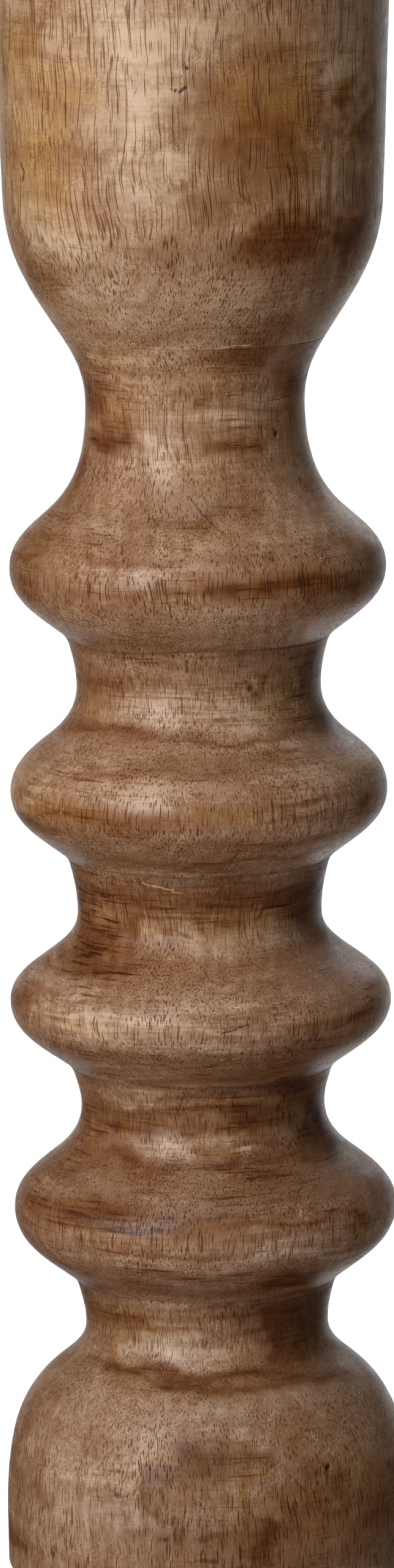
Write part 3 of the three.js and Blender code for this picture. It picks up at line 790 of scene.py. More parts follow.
def hand_turned(wobble, groove):
    """The shift that makes a turned block uneven, dented, and eased at its ends.

    The radius gains the wobble, faint tool rings and the dents, each dent -depth times
    exp(-(across/width)^2 - (up/tall)^2), and loses groove times exp(-(dz/0.14)^2) at each seam.
    """

    def shift(angle, radius, height):
        """The point's own radius, and its height as it was."""
        change = wobble * ripples(angle, height, 21, 3, 0.05)
        change += 0.35 * wobble * ripples(angle, height, 22, 7, 0.25)
        change += 0.012 * ripples(angle, height, 23, 2, 2.4)
        for degrees, middle, width, tall, depth in DENTS:
            turn = np.angle(np.exp(1j * (angle - math.radians(degrees))))
            change -= depth * np.exp(-((turn * radius / width) ** 2) - ((height - middle) / tall) ** 2)
        for seam in SEAMS:
            change -= groove * np.exp(-(((height - seam) / 0.14) ** 2))
        near_end = np.minimum(height - BOTTOM["base_block"], CUP_TOP - height)
        change *= np.clip(near_end / 2.0, 0, 1)
        return np.where(radius > INSIDE, radius + change, radius), height

    return shift


def build_wood_block(context, name):
    """One turned block: socket, underside, side and top as one outline, turned on a fine grid."""
    settings = context.scene.candlestick
    wood, metal, small = in_mm(settings.wood), in_mm(settings.metal), in_mm(settings.small)
    low, high = BOTTOM[name], TOP[name]
    socket = small.dowel_radius + small.dowel_clearance
    depth = (TOP[DOWELS[0]] - BOTTOM[DOWELS[0]]) / 2 + END_GAP
    widest = LONG_BLOCK_STEP if high - low > LONG_BLOCK else SHORT_BLOCK_STEP
    side = spaced(block_side(wood_side(settings.wood), low, high), widest, END_STEP)
    first, last = (side[0, 0], low), (side[-1, 0], high)
    under = straight((0, low + depth), (socket, low + depth), (socket, low), first)[:-1]
    over = straight(last, (socket, high), (socket, high - depth), (0, high - depth))[1:]
    columns, holes = 480, ()
    if name == "base_block":
        under = straight((0, low), first)[:-1]
    if name == "cup_block":
        hole, end = metal.spike_shank + SPIKE_GAP, BOTTOM["pricket_spike"] - END_GAP
        over = straight(last, *window_rows(high)[::-1], (hole, high), (hole, end), (0, end), step=3)[1:]
        shank, point = metal.screw_shank + metal.screw_clearance, BOTTOM[SCREWS[0]]
        rings = [(shank, high), (shank, point + SCREW_POINT), (0, point - metal.screw_clearance)]
        columns, holes = 440, [(centre, rings, (high,)) for centre in screw_places()]
    piece, angle, height = turned_mesh(
        f"turned_{name}",
        np.concatenate([under, side, over]),
        columns_round(columns),
        hand_turned(wood.wobble, wood.seam_groove),
        holes,
    )
    # The stain kinds also carry painted highlights, painted shade and painted grey sheen.
    for kind, values in stain_strengths(angle, height).items():
        set_attribute(piece, kind, values)
    # hollow holds the dark seam lines and the painted shade in the creases.
    set_attribute(piece, "hollow", seam_line_and_crease_shade(angle, height))
    finish_piece(piece, wood_material(context, name), "turned_wood", name)


# Shader nodes


class Nodes:
    """Makes and links the nodes of one tree. A value is a socket, a number or a row of numbers."""

    def __init__(self, tree):
        self.tree = tree

    def make(self, kind, inputs=None, **settings):
        """Adds a node, sets its options, and links or sets its inputs by name or number."""
        made = self.tree.nodes.new("ShaderNode" + kind)
        for key, value in settings.items():
            setattr(made, key, value)
        for key, value in (inputs or {}).items():
            if isinstance(value, bpy.types.NodeSocket):
                self.tree.links.new(value, made.inputs[key])
            else:
                made.inputs[key].default_value = value
        return made

    def calc(self, operation, *values, clamp=False):
        """A Math node's result."""
        made = self.make("Math", dict(enumerate(values)), operation=operation, use_clamp=clamp)
        return made.outputs[0]

    def vector(self, operation, *values, output=0):
        """A Vector Math node's result."""
        made = self.make("VectorMath", dict(enumerate(values)), operation=operation)
        return made.outputs[output]

    def times(self, a, b, clamp=False):
        """The product of two numbers."""
        return self.calc("MULTIPLY", a, b, clamp=clamp)

    def plus(self, total, part, share, clamp=False):
        """total + part times share."""
        return self.calc("MULTIPLY_ADD", part, share, total, clamp=clamp)

    def centred(self, value):
        """A value that lies round a half, made to lie round 0."""
        return self.calc("SUBTRACT", value, 0.5)

    def stretched(self, vector, x, y, z):
        """A vector with each part times its own number."""
        return self.vector("MULTIPLY", vector, (x, y, z))

    def scaled(self, vector, factor):
        """A vector times a number."""
        return self.make("VectorMath", {0: vector, 3: factor}, operation="SCALE").outputs[0]

    def length(self, vector):
        """A vector's length."""
        return self.vector("LENGTH", vector, output=1)

    def noise(self, vector, scale=1.0, detail=2.0, roughness=0.5, output=0):
        """A Noise texture's value, or its colour with output 1."""
        inputs = {"Vector": vector, "Scale": scale, "Detail": detail, "Roughness": roughness}
        return self.make("TexNoise", inputs).outputs[output]

    def wander(self, vector, *shape):
        """A vector of about -0.5 to 0.5 that drifts from place to place, with noise's numbers."""
        return self.vector("SUBTRACT", self.noise(vector, *shape, output=1), (0.5, 0.5, 0.5))

    def step(self, value, low, high, to_low=0.0, to_high=1.0):
        """Rises smoothly from to_low to to_high as the value goes from low to high."""
        inputs = {"Value": value, "From Min": low, "From Max": high, "To Min": to_low, "To Max": to_high}
        return self.make("MapRange", inputs, interpolation_type="SMOOTHSTEP").outputs[0]

    def blend(self, factor, a, b, kind="MIX"):
        """A Mix node's colour."""
        return self.make("Mix", {0: factor, 6: a, 7: b}, data_type="RGBA", blend_type=kind).outputs[2]

    def attribute(self, name):
        """The number that each vertex holds under a name."""
        return self.make("Attribute", attribute_name=name).outputs["Fac"]

    def place(self):
        """The piece's own coordinates in metres."""
        return self.make("TexCoord").outputs["Object"]

    def place_in_mm(self):
        """The piece's own coordinates in millimetres."""
        return self.scaled(self.place(), 1 / MM)

    def surface(self, shade, roughness, height, strength, depth, others):
        """The shader and the output: its colour, roughness, relief of a depth in mm, and others."""
        bump = self.make("Bump", {"Strength": strength, "Distance": depth * MM, "Height": height})
        inputs = {"Base Color": shade, "Roughness": roughness, "Normal": bump.outputs[0], **others}
        shader = self.make("BsdfPrincipled", inputs)
        self.make("OutputMaterial", {0: shader.outputs[0]})

    def glow(self, strength):
        """White light of a strength."""
        return self.make("Emission", {"Color": WHITE, "Strength": strength}).outputs[0]


def rgba(value, share=1.0):
    """A colour property times a share, as four numbers of at most 1."""
    return (*(min(1, share * part) for part in value), 1.0)


def new_material(name):
    """An empty node material and the maker of its nodes."""
    material = bpy.data.materials.new(name)
    material.use_nodes = True
    material.node_tree.nodes.clear()
    return material, Nodes(material.node_tree)


def new_group(name, vectors, numbers, results):
    """An empty node group: the maker of its nodes, what it is given and what it results in."""
    tree = bpy.data.node_groups.new(name, "ShaderNodeTree")
    for labels, kind in ((vectors, "Vector"), (numbers, "Float")):
        for label in labels:
            tree.interface.new_socket(label, in_out="INPUT", socket_type="NodeSocket" + kind)
    for label, kind in results.items():
        tree.interface.new_socket(label, in_out="OUTPUT", socket_type="NodeSocket" + kind)
    given, result = tree.nodes.new("NodeGroupInput"), tree.nodes.new("NodeGroupOutput")
    return Nodes(tree), given.outputs, result.inputs


# Materials

# The middle of the growth rings in the solid figure, in mm.
PITH = (-18.0, 62.0, 0.0)


def hardwood_group(look):
    """The figure of brown hardwood, as a solid texture: streaks, growth rings, fibre and pores."""
    name = "brown_hardwood"
    if name in bpy.data.node_groups:
        return bpy.data.node_groups[name]
    n, given, result = new_group(
        name,
        ("Place", "Board", "Closeness"),
        ("Amber", "Pale", "Dark", "Haze", "Tone", "Streaks"),
        {"Colour": "Color", "Relief": "Float", "Sheen": "Float"},
    )
    place = given["Place"]
    board = n.vector("ADD", place, given["Board"])
    drift = n.stretched(n.wander(board, 0.03, 2), 7, 7, 10)
    bent = n.vector("ADD", board, drift)

    cloud = n.noise(n.stretched(bent, 1, 1, 0.75), 0.05, 3, 0.55)
    mottle = n.noise(n.stretched(bent, 1, 1, 0.8), 0.35, 4, 0.8)
    from_pith = n.length(n.vector("SUBTRACT", n.stretched(bent, 1, 1, 0), PITH))
    uneven = n.times(n.noise(board, 0.12, 2), 5.0)
    rings = n.calc("SINE", n.plus(uneven, from_pith, 2 * math.pi / (look.ring_spacing / MM)))
    rings = n.times(rings, n.step(n.noise(board, 0.045, 1), 0.38, 0.68))
    broad = n.noise(n.stretched(bent, 0.012, 0.012, 0.085), 1, 2)
    band = n.noise(n.stretched(bent, 0.03, 0.03, 0.38), 1, 3, 0.6)
    streak = n.noise(n.stretched(board, 0.07, 0.07, 1.5), 1, 3, 0.65)
    fibre = n.noise(n.stretched(bent, 2.6, 2.6, 0.11), 1, 2, 0.6)
    grit = n.noise(board, 2.2, 2, 0.6)

    tone = n.calc("ADD", given["Tone"], 0.72)
    lively = n.step(n.noise(board, 0.05, 2), 0.42, 0.66, 0.25, 1.6)
    lines = n.plus(n.times(n.centred(band), 0.56), n.step(streak, 0.55, 0.68), -0.27)
    lines = n.times(lines, given["Streaks"])
    tone = n.plus(tone, lines, n.calc("ADD", lively, given["Dark"]))
    for part, share in ((cloud, 0.30), (mottle, 0.38), (broad, 0.34)):
        tone = n.plus(tone, n.centred(part), share)
    rough = n.step(n.noise(n.stretched(board, 1, 1, 2.5), 0.06, 2), 0.4, 0.62, 0.4, 1.25)
    rough = n.calc("MAXIMUM", n.plus(rough, given["Pale"], -0.5), 0.3)
    for part, share in ((fibre, 0.46), (grit, 0.50)):
        tone = n.plus(tone, n.times(n.centred(part), rough), share)
    fine = n.times(n.centred(streak), given["Streaks"])
    tone = n.plus(tone, fine, 0.36)
    tone = n.plus(tone, rings, 0.04)
    broken = n.times(n.centred(band), given["Streaks"])
    ragged = n.plus(1.0, n.centred(mottle), 1.3)
    ragged = n.plus(n.plus(ragged, broken, 2.2), fine, 2.8)
    # The pale, dark and haze kinds also carry painted highlights, painted shade and painted grey sheen.
    stains = {}
    for kind, share in (("Pale", 0.22), ("Dark", -0.52), ("Amber", -0.03), ("Haze", -0.04)):
        stains[kind] = n.times(given[kind], ragged, clamp=True)
        tone = n.plus(tone, stains[kind], share)

    waver = n.stretched(n.wander(n.stretched(board, 0.2, 0.2, 0.07), 1, 1), 1.5, 1.5, 0)
    grain = n.vector("ADD", n.vector("ADD", place, drift), waver)
    grain = n.vector("ADD", squeezed(n, grain), given["Board"])
    grain = n.vector("MULTIPLY", grain, given["Closeness"])
    crowd = n.centred(n.noise(n.stretched(board, 1, 1, 0.4), 0.11, 2))
    gap, run = look.pore_spacing / MM, look.pore_length / MM
    shifted = n.vector("ADD", grain, (37.3, 11.9, 53.1))
    small = n.times(vessels(n, shifted, gap * 0.8, run * 0.5, 0.22, crowd), 0.75)
    pores = n.calc("MAXIMUM", vessels(n, grain, gap, run, 0.27, crowd), small)
    tone = n.plus(tone, pores, -0.52)

    ramp = n.make("ValToRGB", {0: tone})
    stops = ramp.color_ramp.elements
    stops[0].position, stops[0].color = 0.0, rgba(look.wax)
    stops[1].position, stops[1].color = 0.98, rgba(look.palest)
    for position, shade in ((0.24, look.dark), (0.46, look.rich), (0.67, look.middle)):
        stops.new(position).color = rgba(shade)
    shade = n.blend(stains["Amber"], ramp.outputs[0], rgba(look.amber), "MULTIPLY")
    shade = n.blend(stains["Haze"], shade, rgba(look.haze), "MULTIPLY")

    relief = n.plus(n.times(streak, 0.35), pores, -1.0)
    relief = n.plus(n.plus(relief, fibre, 0.22), grit, 0.18)
    sheen = n.plus(0.28, n.centred(band), 0.3)
    sheen = n.plus(n.plus(sheen, n.centred(mottle), 0.22), pores, 0.25)
    for label, value in (("Colour", shade), ("Relief", relief), ("Sheen", sheen)):
        n.tree.links.new(value, result[label])
    return n.tree


def squeezed(n, place, share=0.42, middle=40.0):
    """Places drawn towards a tube of radius middle, so that pores run long on upright sides.

    With r the distance from the axis in mm, x and y are scaled by share + (1 - share) middle / r.
    """
    radius = n.calc("MAXIMUM", n.length(n.stretched(place, 1, 1, 0)), 2.0)
    factor = n.calc("ADD", n.calc("DIVIDE", (1 - share) * middle, radius), share)
    both = n.make("CombineXYZ", {0: factor, 1: factor, 2: 1.0}).outputs[0]
    return n.vector("MULTIPLY", place, both)


def vessels(n, place, gap, run, radius, crowd):
    """Long thin pores along the grain: 1 near seeded points spread gap mm across and run mm along.

    Each pore is the part of space within radius of its point, as a share of gap and of run, and
    crowd makes them thinner or thicker from place to place.
    """
    cells = n.stretched(place, 1 / gap, 1 / gap, 1 / run)
    distance = n.make("TexVoronoi", {"Vector": cells, "Scale": 1.0}).outputs[0]
    distance = n.plus(distance, crowd, 0.25)
    return n.step(distance, radius * 0.6, radius * 1.25, 1.0, 0.0)


def mark_group():
    """A stroke between two places in mm: 1 on it and 0 beyond its half width.

    With h the share of the way that the place's foot lies along the stroke, the distance is
    |place - start - h (end - start)|.
    """
    name = "mark_stroke"
    if name in bpy.data.node_groups:
        return bpy.data.node_groups[name]
    n, given, result = new_group(
        name, ("Place", "Start", "End"), ("Width", "Strength"), {"Mark": "Float"}
    )
    away = n.vector("SUBTRACT", given["Place"], given["Start"])
    stroke = n.vector("SUBTRACT", given["End"], given["Start"])
    length = n.calc("MAXIMUM", n.vector("DOT_PRODUCT", stroke, stroke, output=1), 0.0001)
    share = n.calc("DIVIDE", n.vector("DOT_PRODUCT", away, stroke, output=1), length, clamp=True)
    distance = n.length(n.vector("SUBTRACT", away, n.scaled(stroke, share)))
    inner, outer = n.times(given["Width"], 0.55), n.times(given["Width"], 1.35)
    mark = n.times(n.step(distance, inner, outer, 1.0, 0.0), given["Strength"])
    n.tree.links.new(mark, result["Mark"])
    return n.tree


def back_marks(name):
    """Seeded small spots, ticks and scratches for the sides and the back of one block."""
    source = np.random.default_rng(70 + WOOD_BLOCKS.index(name))
    marks = []
    for _ in range(BACK_MARKS_PER_BLOCK):
        degrees = 180 + source.uniform(-100, 100)
        height = source.uniform(BOTTOM[name] + 4, TOP[name] - 4)
        kind = source.integers(0, 3)
        if kind == 0:
            marks.append((source.uniform(0.3, 0.8), 0.9, degrees, height))
        elif kind == 1:
            marks.append((0.2, 0.7, degrees, height, degrees + 0.6, height + source.uniform(2, 5)))
        else:
            end = height + source.uniform(-4, 4)
            marks.append((0.22, 0.7, degrees, height, degrees + source.uniform(4, 10), end))
    return marks


def strokes_of(n, place, side, marks):
    """The strongest of a list of marks on a turned side, as one value.

    A mark in the middle of a dent lies at 0.7 of the dent's depth, so that it covers its floor. There
    its dark colour is painted shade inside the hole.
    """
    total = None
    for width, strength, *path in marks:
        points = []
        for degrees, height in zip(path[::2], path[1::2]):
            radius = float(np.interp(height, side[:, 1], side[:, 0]))
            radius -= sum(0.7 * dent[4] for dent in DENTS if dent[:2] == (degrees, height))
            turn = math.radians(degrees)
            points.append((radius * math.sin(turn), -radius * math.cos(turn), height))
        for start, end in zip(points, points[1:] or points):
            inputs = {"Place": place, "Start": start, "End": end, "Width": width, "Strength": strength}
            mark = n.make("Group", inputs, node_tree=mark_group()).outputs[0]
            total = mark if total is None else n.calc("MAXIMUM", total, mark)
    return total


# Where each block's board lies in the solid figure, its tone, how closely and how short its pores
# stand, as shares of the look's own spacing and length, how streaky it is, and its own tint.
BOARDS = {
    "base_block": ((140.0, 30.0, 410.0), -0.005, 1.15, 3.2, 0.45, (0.99, 1.04, 1.13)),
    "lower_bead_block": ((20.0, 95.0, 905.0), -0.045, 1.05, 2.1, 1.15, (0.97, 0.985, 1.06)),
    "middle_bead_block": ((260.0, 44.0, 130.0), -0.005, 1.05, 2.2, 1.15, (0.99, 1.015, 1.09)),
    "upper_bead_block": ((75.0, 210.0, 655.0), -0.01, 1.05, 2.2, 1.05, (1.0, 1.01, 1.04)),
    "neck_block": ((330.0, 120.0, 30.0), -0.01, 1.0, 1.4, 0.75, (1.0, 1.0, 1.0)),
    "cup_block": ((180.0, 260.0, 780.0), 0.04, 1.02, 0.6, 0.35, (1.0, 1.01, 1.0)),
}


def wood_material(context, name):
    """Waxed hardwood for one block: the figure of its own board, its stains, hollows and marks."""
    settings = context.scene.candlestick
    look, side = settings.wood_look, wood_side(settings.wood)
    material, n = new_material(f"waxed_{name}")
    place = n.place_in_mm()
    board, tone, closeness, shortness, streaks, tint = BOARDS[name]
    inputs = {"Place": place, "Board": board, "Tone": tone, "Streaks": streaks}
    inputs["Closeness"] = (closeness, closeness, shortness)
    inputs.update((kind.capitalize(), n.attribute(kind)) for kind in STAINS)
    figure = n.make("Group", inputs, node_tree=hardwood_group(look)).outputs
    shade = n.vector("MULTIPLY", figure["Colour"], tint)

    rough_place = n.vector("ADD", place, n.scaled(n.wander(place, 1.1, 3, 0.6), 0.9))
    marks = strokes_of(n, rough_place, side, MARKS[name] + back_marks(name))
    nicks_and_glint = strokes_of(n, rough_place, side, NICKS_AND_GLINT[name])
    # Painted crease shade and the dark seam lines, in the old-wax colour and patchy round the turn.
    patchy = n.step(n.noise(place, 0.9, 3, 0.7), 0.25, 0.7, 0.6, 1.0)
    hollow = n.times(n.attribute("hollow"), patchy)
    shade = n.blend(n.times(hollow, 0.7), shade, rgba(look.wax))
    # Pale chips and torn fibres, and on the cup a painted highlight along a crack.
    shade = n.blend(n.times(nicks_and_glint, 0.85), shade, rgba(look.palest, 1.1))
    # Dark marks in the old-wax colour; the spots in dents paint the shade inside the holes.
    shade = n.blend(n.times(marks, 0.88), shade, rgba(look.wax))
    relief = n.plus(figure["Relief"], marks, -1.3)
    sheen = n.plus(figure["Sheen"], hollow, 0.12)
    n.surface(shade, sheen, relief, 0.55, 0.12, {"Specular IOR Level": 0.4})
    return material


def turned_brass(look, name, brushing):
    """Aged brass with fine marks round the axis and darker patina in patches."""
    material, n = new_material(name)
    place = n.place_in_mm()
    height = n.make("SeparateXYZ", {0: place}).outputs[2]
    across = n.times(n.length(n.stretched(place, 1, 1, 0)), brushing)
    lines = n.make("CombineXYZ", {0: across, 2: n.times(height, brushing)}).outputs[0]
    brushed = n.noise(n.vector("ADD", lines, n.scaled(place, 0.05)), 1, 3, 0.7)
    patch = n.step(n.noise(place, 0.16, 5, 0.65), 0.35, 0.68)
    aged = n.plus(patch, n.centred(n.noise(place, 1.4, 3, 0.7)), 0.7, clamp=True)
    shade = n.blend(aged, rgba(look.patina), rgba(look.brass))
    shine = n.plus(n.calc("ADD", n.plus(0.24, brushed, 0.16), 0.12), aged, -0.12)
    n.surface(shade, shine, brushed, 0.25, 0.05, {"Metallic": 1.0})
    return material


def zinc_steel(look):
    """Zinc-coated steel with a faint mottle and small scuffs."""
    material, n = new_material("zinc_screw_steel")
    place = n.place_in_mm()
    mottle = n.noise(place, 1.6, 4, 0.7)
    scuff = n.step(n.noise(n.stretched(place, 6, 1, 1), 1, 2), 0.58, 0.72)
    shade = n.blend(mottle, rgba(look.steel, 0.72), rgba(look.steel, 1.25))
    shade = n.blend(n.times(scuff, 0.4), shade, (0.62, 0.61, 0.58, 1))
    n.surface(shade, n.plus(0.22, mottle, 0.28), mottle, 0.2, 0.04, {"Metallic": 1.0})
    return material


def dry_dowel_wood(small):
    """Plain unfinished hardwood with long fine grain."""
    material, n = new_material("dry_dowel_wood")
    place = n.place_in_mm()
    grain = n.noise(n.stretched(place, 1.8, 1.8, 0.06), 1, 4, 0.6)
    tone = n.plus(n.times(grain, 0.6), n.noise(place, 0.12, 2), 0.4)
    shade = n.blend(tone, rgba(small.dowel, 0.62), rgba(small.dowel, 1.25))
    n.surface(shade, n.plus(0.6, grain, 0.2), grain, 0.4, 0.1, {})
    return material


def wool_felt(small):
    """Pressed wool felt: tangled pale and dark fibres."""
    material, n = new_material("wool_felt")
    place = n.place_in_mm()
    tangle = n.noise(n.vector("ADD", place, n.noise(place, 1.5, 3, output=1)), 3.5, 4, 0.75)
    tone = n.plus(n.times(n.noise(place, 0.4, 2), 0.3), tangle, 0.8)
    shade = n.blend(tone, rgba(small.felt, 0.5), rgba(small.felt, 1.7))
    n.surface(shade, n.plus(0.88, tangle, 0.1), tangle, 0.7, 0.2, {"Sheen Weight": 0.4})
    return material


# Metal, dowels and pads


def build_pan(context):
    """The candle pan: a turned dish with a rolled lip and a seat for the spike's collar."""
    look = context.scene.candlestick.metal
    metal = in_mm(look)
    low, high = BOTTOM["candle_pan"], TOP["candle_pan"]
    rim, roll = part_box("candle_pan")[1].x / MM, metal.pan_wall / 2
    inner, floor = metal.pan_floor_radius, low + metal.pan_floor
    outer, bed = inner + metal.pan_wall, floor - metal.seat_depth
    lip = arc(rim - roll, high - roll, roll, -LIP_LEAN, 180 - LIP_LEAN, 14)
    hole, seat = metal.spike_shank + SPIKE_GAP, metal.collar_radius + metal.seat_clearance
    seat_down = (inner, floor), *window_rows(floor)[::-1], (seat, floor), (seat, bed), (hole, bed)
    outline = np.concatenate([
        straight((hole, bed), (hole, low), *window_rows(low), (outer, low), step=1.5)[:-1],
        sweep([(outer, low, 90), (*lip[0], LIP_LEAN)], steps=18),
        lip[1:-1],
        sweep([(*lip[-1], LIP_LEAN + 180), (inner, floor, 270)], steps=18),
        straight(*seat_down, step=1.5)[1:-1],
    ])
    head, shank = metal.screw_head + metal.screw_clearance, metal.screw_shank + metal.screw_clearance
    land = TOP[SCREWS[0]] - SCREW_LAND - metal.screw_clearance
    rings = [(head + HOLE_BEVEL, floor), (head, floor - HOLE_BEVEL), (head, land)]
    rings += [(shank, land - head + shank), (shank, low)]
    holes = [(centre, rings, (floor, low)) for centre in screw_places()]
    piece = ring_mesh("brass_candle_pan", outline, columns_round(240, 0), holes)
    finish_piece(piece, turned_brass(look, "aged_pan_brass", 3.2), "pan_brass", "candle_pan")


def build_spike(context):
    """The pricket: a pointed shank, a flush collar, a hollow root and a long taper to the tip."""
    look = context.scene.candlestick.metal
    metal = in_mm(look)
    low, top = BOTTOM["pricket_spike"], TOP["pricket_spike"] - SPIKE_TIP
    floor = BOTTOM["candle_pan"] + metal.pan_floor
    bed = floor - metal.seat_depth
    shank, collar, radius, root = metal.spike_shank, metal.collar_radius, metal.spike_radius, metal.spike_root
    edge = (collar, bed), (collar, floor - COLLAR_BEVEL)
    outline = np.concatenate([
        straight((0, low), (shank, low + SPIKE_POINT), (shank, bed), *edge, step=1.5),
        straight((collar - COLLAR_BEVEL, floor), (radius + root, floor), step=0.6),
        arc(radius + root, floor + root, root, 270, 180, 8)[1:],
        spike_taper(radius, floor + root, SPIKE_TIP, top)[1:],
        arc(0, top, SPIKE_TIP, 0, 90, 6)[1:],
    ])
    piece, _, _ = turned_mesh("brass_pricket_spike", outline, columns_round(64, 0))
    finish_piece(piece, turned_brass(look, "aged_spike_brass", 2.4), "pan_brass", "pricket_spike")


def spike_taper(r0, z0, r1, z1, bulge=0.18, steps=40):
    """A taper with a slight swell: the radius falls in a straight line plus bulge sin(pi t)."""
    t = np.linspace(0, 1, steps + 1)
    return np.stack([r0 + (r1 - r0) * t + bulge * np.sin(math.pi * t), z0 + (z1 - z0) * t], axis=1)


def build_screws(context):
    """Countersunk wood screws with a stamped cross recess in the head."""
    look = context.scene.candlestick.metal
    metal = in_mm(look)
    material = zinc_steel(look)
    head, shank = metal.screw_head, metal.screw_shank
    for name in SCREWS:
        top, end = TOP[name], BOTTOM[name]
        neck = top - SCREW_LAND
        shaft = (shank, end + SCREW_POINT), (shank, neck - head + shank)
        outline = np.concatenate([
            straight((0, end), *shaft, (head, neck), step=0.5),
            straight((head, top - SCREW_BEVEL), (head - SCREW_BEVEL, top), (0, top), step=0.1)[:-1],
            [[0, top - RECESS_DEPTH]],
        ])
        piece, _, _ = turned_mesh(
            f"cross_{name}",
            outline,
            columns_round(96, 0),
            lambda a, r, z, lift=top: (r, z - cross_depth(a, r, z, lift)),
            centre=middle_of(name),
        )
        finish_piece(piece, material, "screw_steel", name)


def cross_depth(angle, radius, height, top, half_length=1.7, half_width=0.36):
    """Depth of the cross recess at a place on the flat of the head.

    Each arm is 1 inside its length and width and falls to 0 over a quarter of a mm at its ends
    and an eighth at its sides. The recess is the greater of the two arms, and it is shallower
    towards the ends.
    """
    x, y = radius * np.sin(angle), radius * np.cos(angle)

    def arm(u, v):
        """1 on the arm that runs along u, and 0 beyond its ends and sides."""
        ends = np.clip((half_length - np.abs(u)) / 0.25, 0, 1)
        return ends * np.clip((half_width - np.abs(v)) / 0.12 + 0.5, 0, 1)

    recess = np.maximum(arm(x, y), arm(y, x)) * (1 - 0.35 * np.clip(radius / half_length, 0, 1))
    return np.where(np.abs(height - top) < 1e-6, RECESS_DEPTH * recess, 0)


def build_dowels(context):
    """Grooved hardwood dowels across the seams.

    The radius is drawn in by the groove's depth times the 6th power of |cos(n a / 2)|.
    """
    look = context.scene.candlestick.small
    small = in_mm(look)
    material = dry_dowel_wood(look)
    radius, bevel = small.dowel_radius, DOWEL_BEVEL

    def grooved(a, r, z):
        """The radius less the grooves on the dowel's side, and the height."""
        inward = small.dowel_groove * np.abs(np.cos(look.groove_count * a / 2)) ** 6
        return np.where(r > radius - bevel - 0.1, r - inward, r), z

    for name in DOWELS:
        low, high = BOTTOM[name], TOP[name]
        lower, upper = ((0, low), (radius - bevel, low)), ((radius - bevel, high), (0, high))
        outline = straight(*lower, (radius, low + bevel), (radius, high - bevel), *upper, step=1.2)
        piece, _, _ = turned_mesh(f"grooved_{name}", outline, columns_round(144, 0), grooved)
        finish_piece(piece, material, "dowel_wood", name)


def build_pads(context):
    """Felt pads with a soft edge and a slightly uneven face."""
    look = context.scene.candlestick.small
    material, radius = wool_felt(look), look.pad_radius / MM
    for i, name in enumerate(PADS):
        low, high = BOTTOM[name], TOP[name]
        outline = np.concatenate([
            straight((0, low), (radius - PAD_EDGE, low), step=0.7)[:-1],
            arc(radius - PAD_EDGE, low + PAD_EDGE, PAD_EDGE, -90, 0, 5),
            straight((radius, high), (0, high), step=0.7),
        ])

        def soft(a, r, z, seed=90 + i):
            """The radius, drawn in unevenly at the pad's edge, and the height."""
            fuzz = PAD_FUZZ * (ripples(a, z, seed, 30, 3) - 1)
            return np.where(r > radius - PAD_EDGE - 0.1, r + fuzz, r), z

        piece, _, _ = turned_mesh(f"felt_{name}", outline, columns_round(96, 0), soft, centre=middle_of(name))
        finish_piece(piece, material, "felt", name)


# Stage


def build_stage(context):
    """A pale floor, a white surround, a tall soft lamp at the left front and weaker ones round it."""
    scene = context.scene
    stage = scene.candlestick.stage
    scene.view_settings.view_transform = "Standard"
    lens = bpy.data.cameras.new("camera")
    camera = bpy.data.objects.new("camera", lens)
    scene.collection.objects.link(camera)
    lens.sensor_fit, lens.sensor_width, lens.lens = "AUTO", 36, stage.focal_length
    lens.clip_start, lens.clip_end = 0.05, 50
    camera.location = (CAMERA_SHIFT * MM, -stage.camera_distance, stage.camera_height)
    camera.rotation_mode = "QUATERNION"
    tilt = Quaternion((1, 0, 0), math.radians(90 - CAMERA_DIP))
    camera.rotation_quaternion = tilt @ Quaternion((0, 0, 1), math.radians(CAMERA_ROLL))
    scene.camera = camera
    corners = np.array([[-4, -4, 0], [4, -4, 0], [4, 8, 0], [-4, 8, 0]], float)
    floor = new_mesh("floor", corners, [np.array([[0, 1, 2, 3]])])
    floor.data.materials.append(floor_material())
    lamps = [
        lamp("key_lamp", stage.key_power, 0.65, 1.3, -35, 22),
        lamp("side_lamp", stage.side_power, 0.7, 0.7, -62, 20),
        lamp("top_lamp", stage.top_power, 1.2, 0.7, -8, 62),
        lamp("back_lamp", stage.back_power, 1.2, 1.2, 172, 30),
    ]
    set_surround(scene, stage.ambient)


def lamp(name, power, wide, tall, azimuth, elevation, distance=1.5):
    """A soft lamp, aimed at the object's middle from an angle round and an angle up."""
    data = bpy.data.lights.new(name, "AREA")
    data.shape, data.size, data.size_y, data.energy = "RECTANGLE", wide, tall, power
    made = bpy.data.objects.new(name, data)
    bpy.context.scene.collection.objects.link(made)
    turn, rise = math.radians(azimuth), math.radians(elevation)
    way = Vector((math.sin(turn) * math.cos(rise), -math.cos(turn) * math.cos(rise), math.sin(rise)))
    made.location = Vector((0, 0, 0.21)) + way * distance
    made.rotation_mode = "QUATERNION"
    made.rotation_quaternion = way.to_track_quat("Z", "Y")
    return made


def studio_level(n, way):
    """How bright a reflection finds the surround that way: white behind and dim in front.

    With d = 0.1 x + y - 0.8 z of the direction, it rises from 0.03 to 1 as d goes from 0.72 to
    1.15, so it is brightest low down behind and a little brighter on the right.
    """
    return n.step(n.vector("DOT_PRODUCT", way, (0.1, 1.0, -0.8), output=1), 0.72, 1.15, 0.03, 1.0)


def rays(n):
    """Whether a ray is the camera's own or has passed through a clear piece, and if it is glossy."""
    ray = n.make("LightPath").outputs
    return n.calc("MAXIMUM", ray["Is Camera Ray"], ray["Is Transmission Ray"]), ray["Is Glossy Ray"]


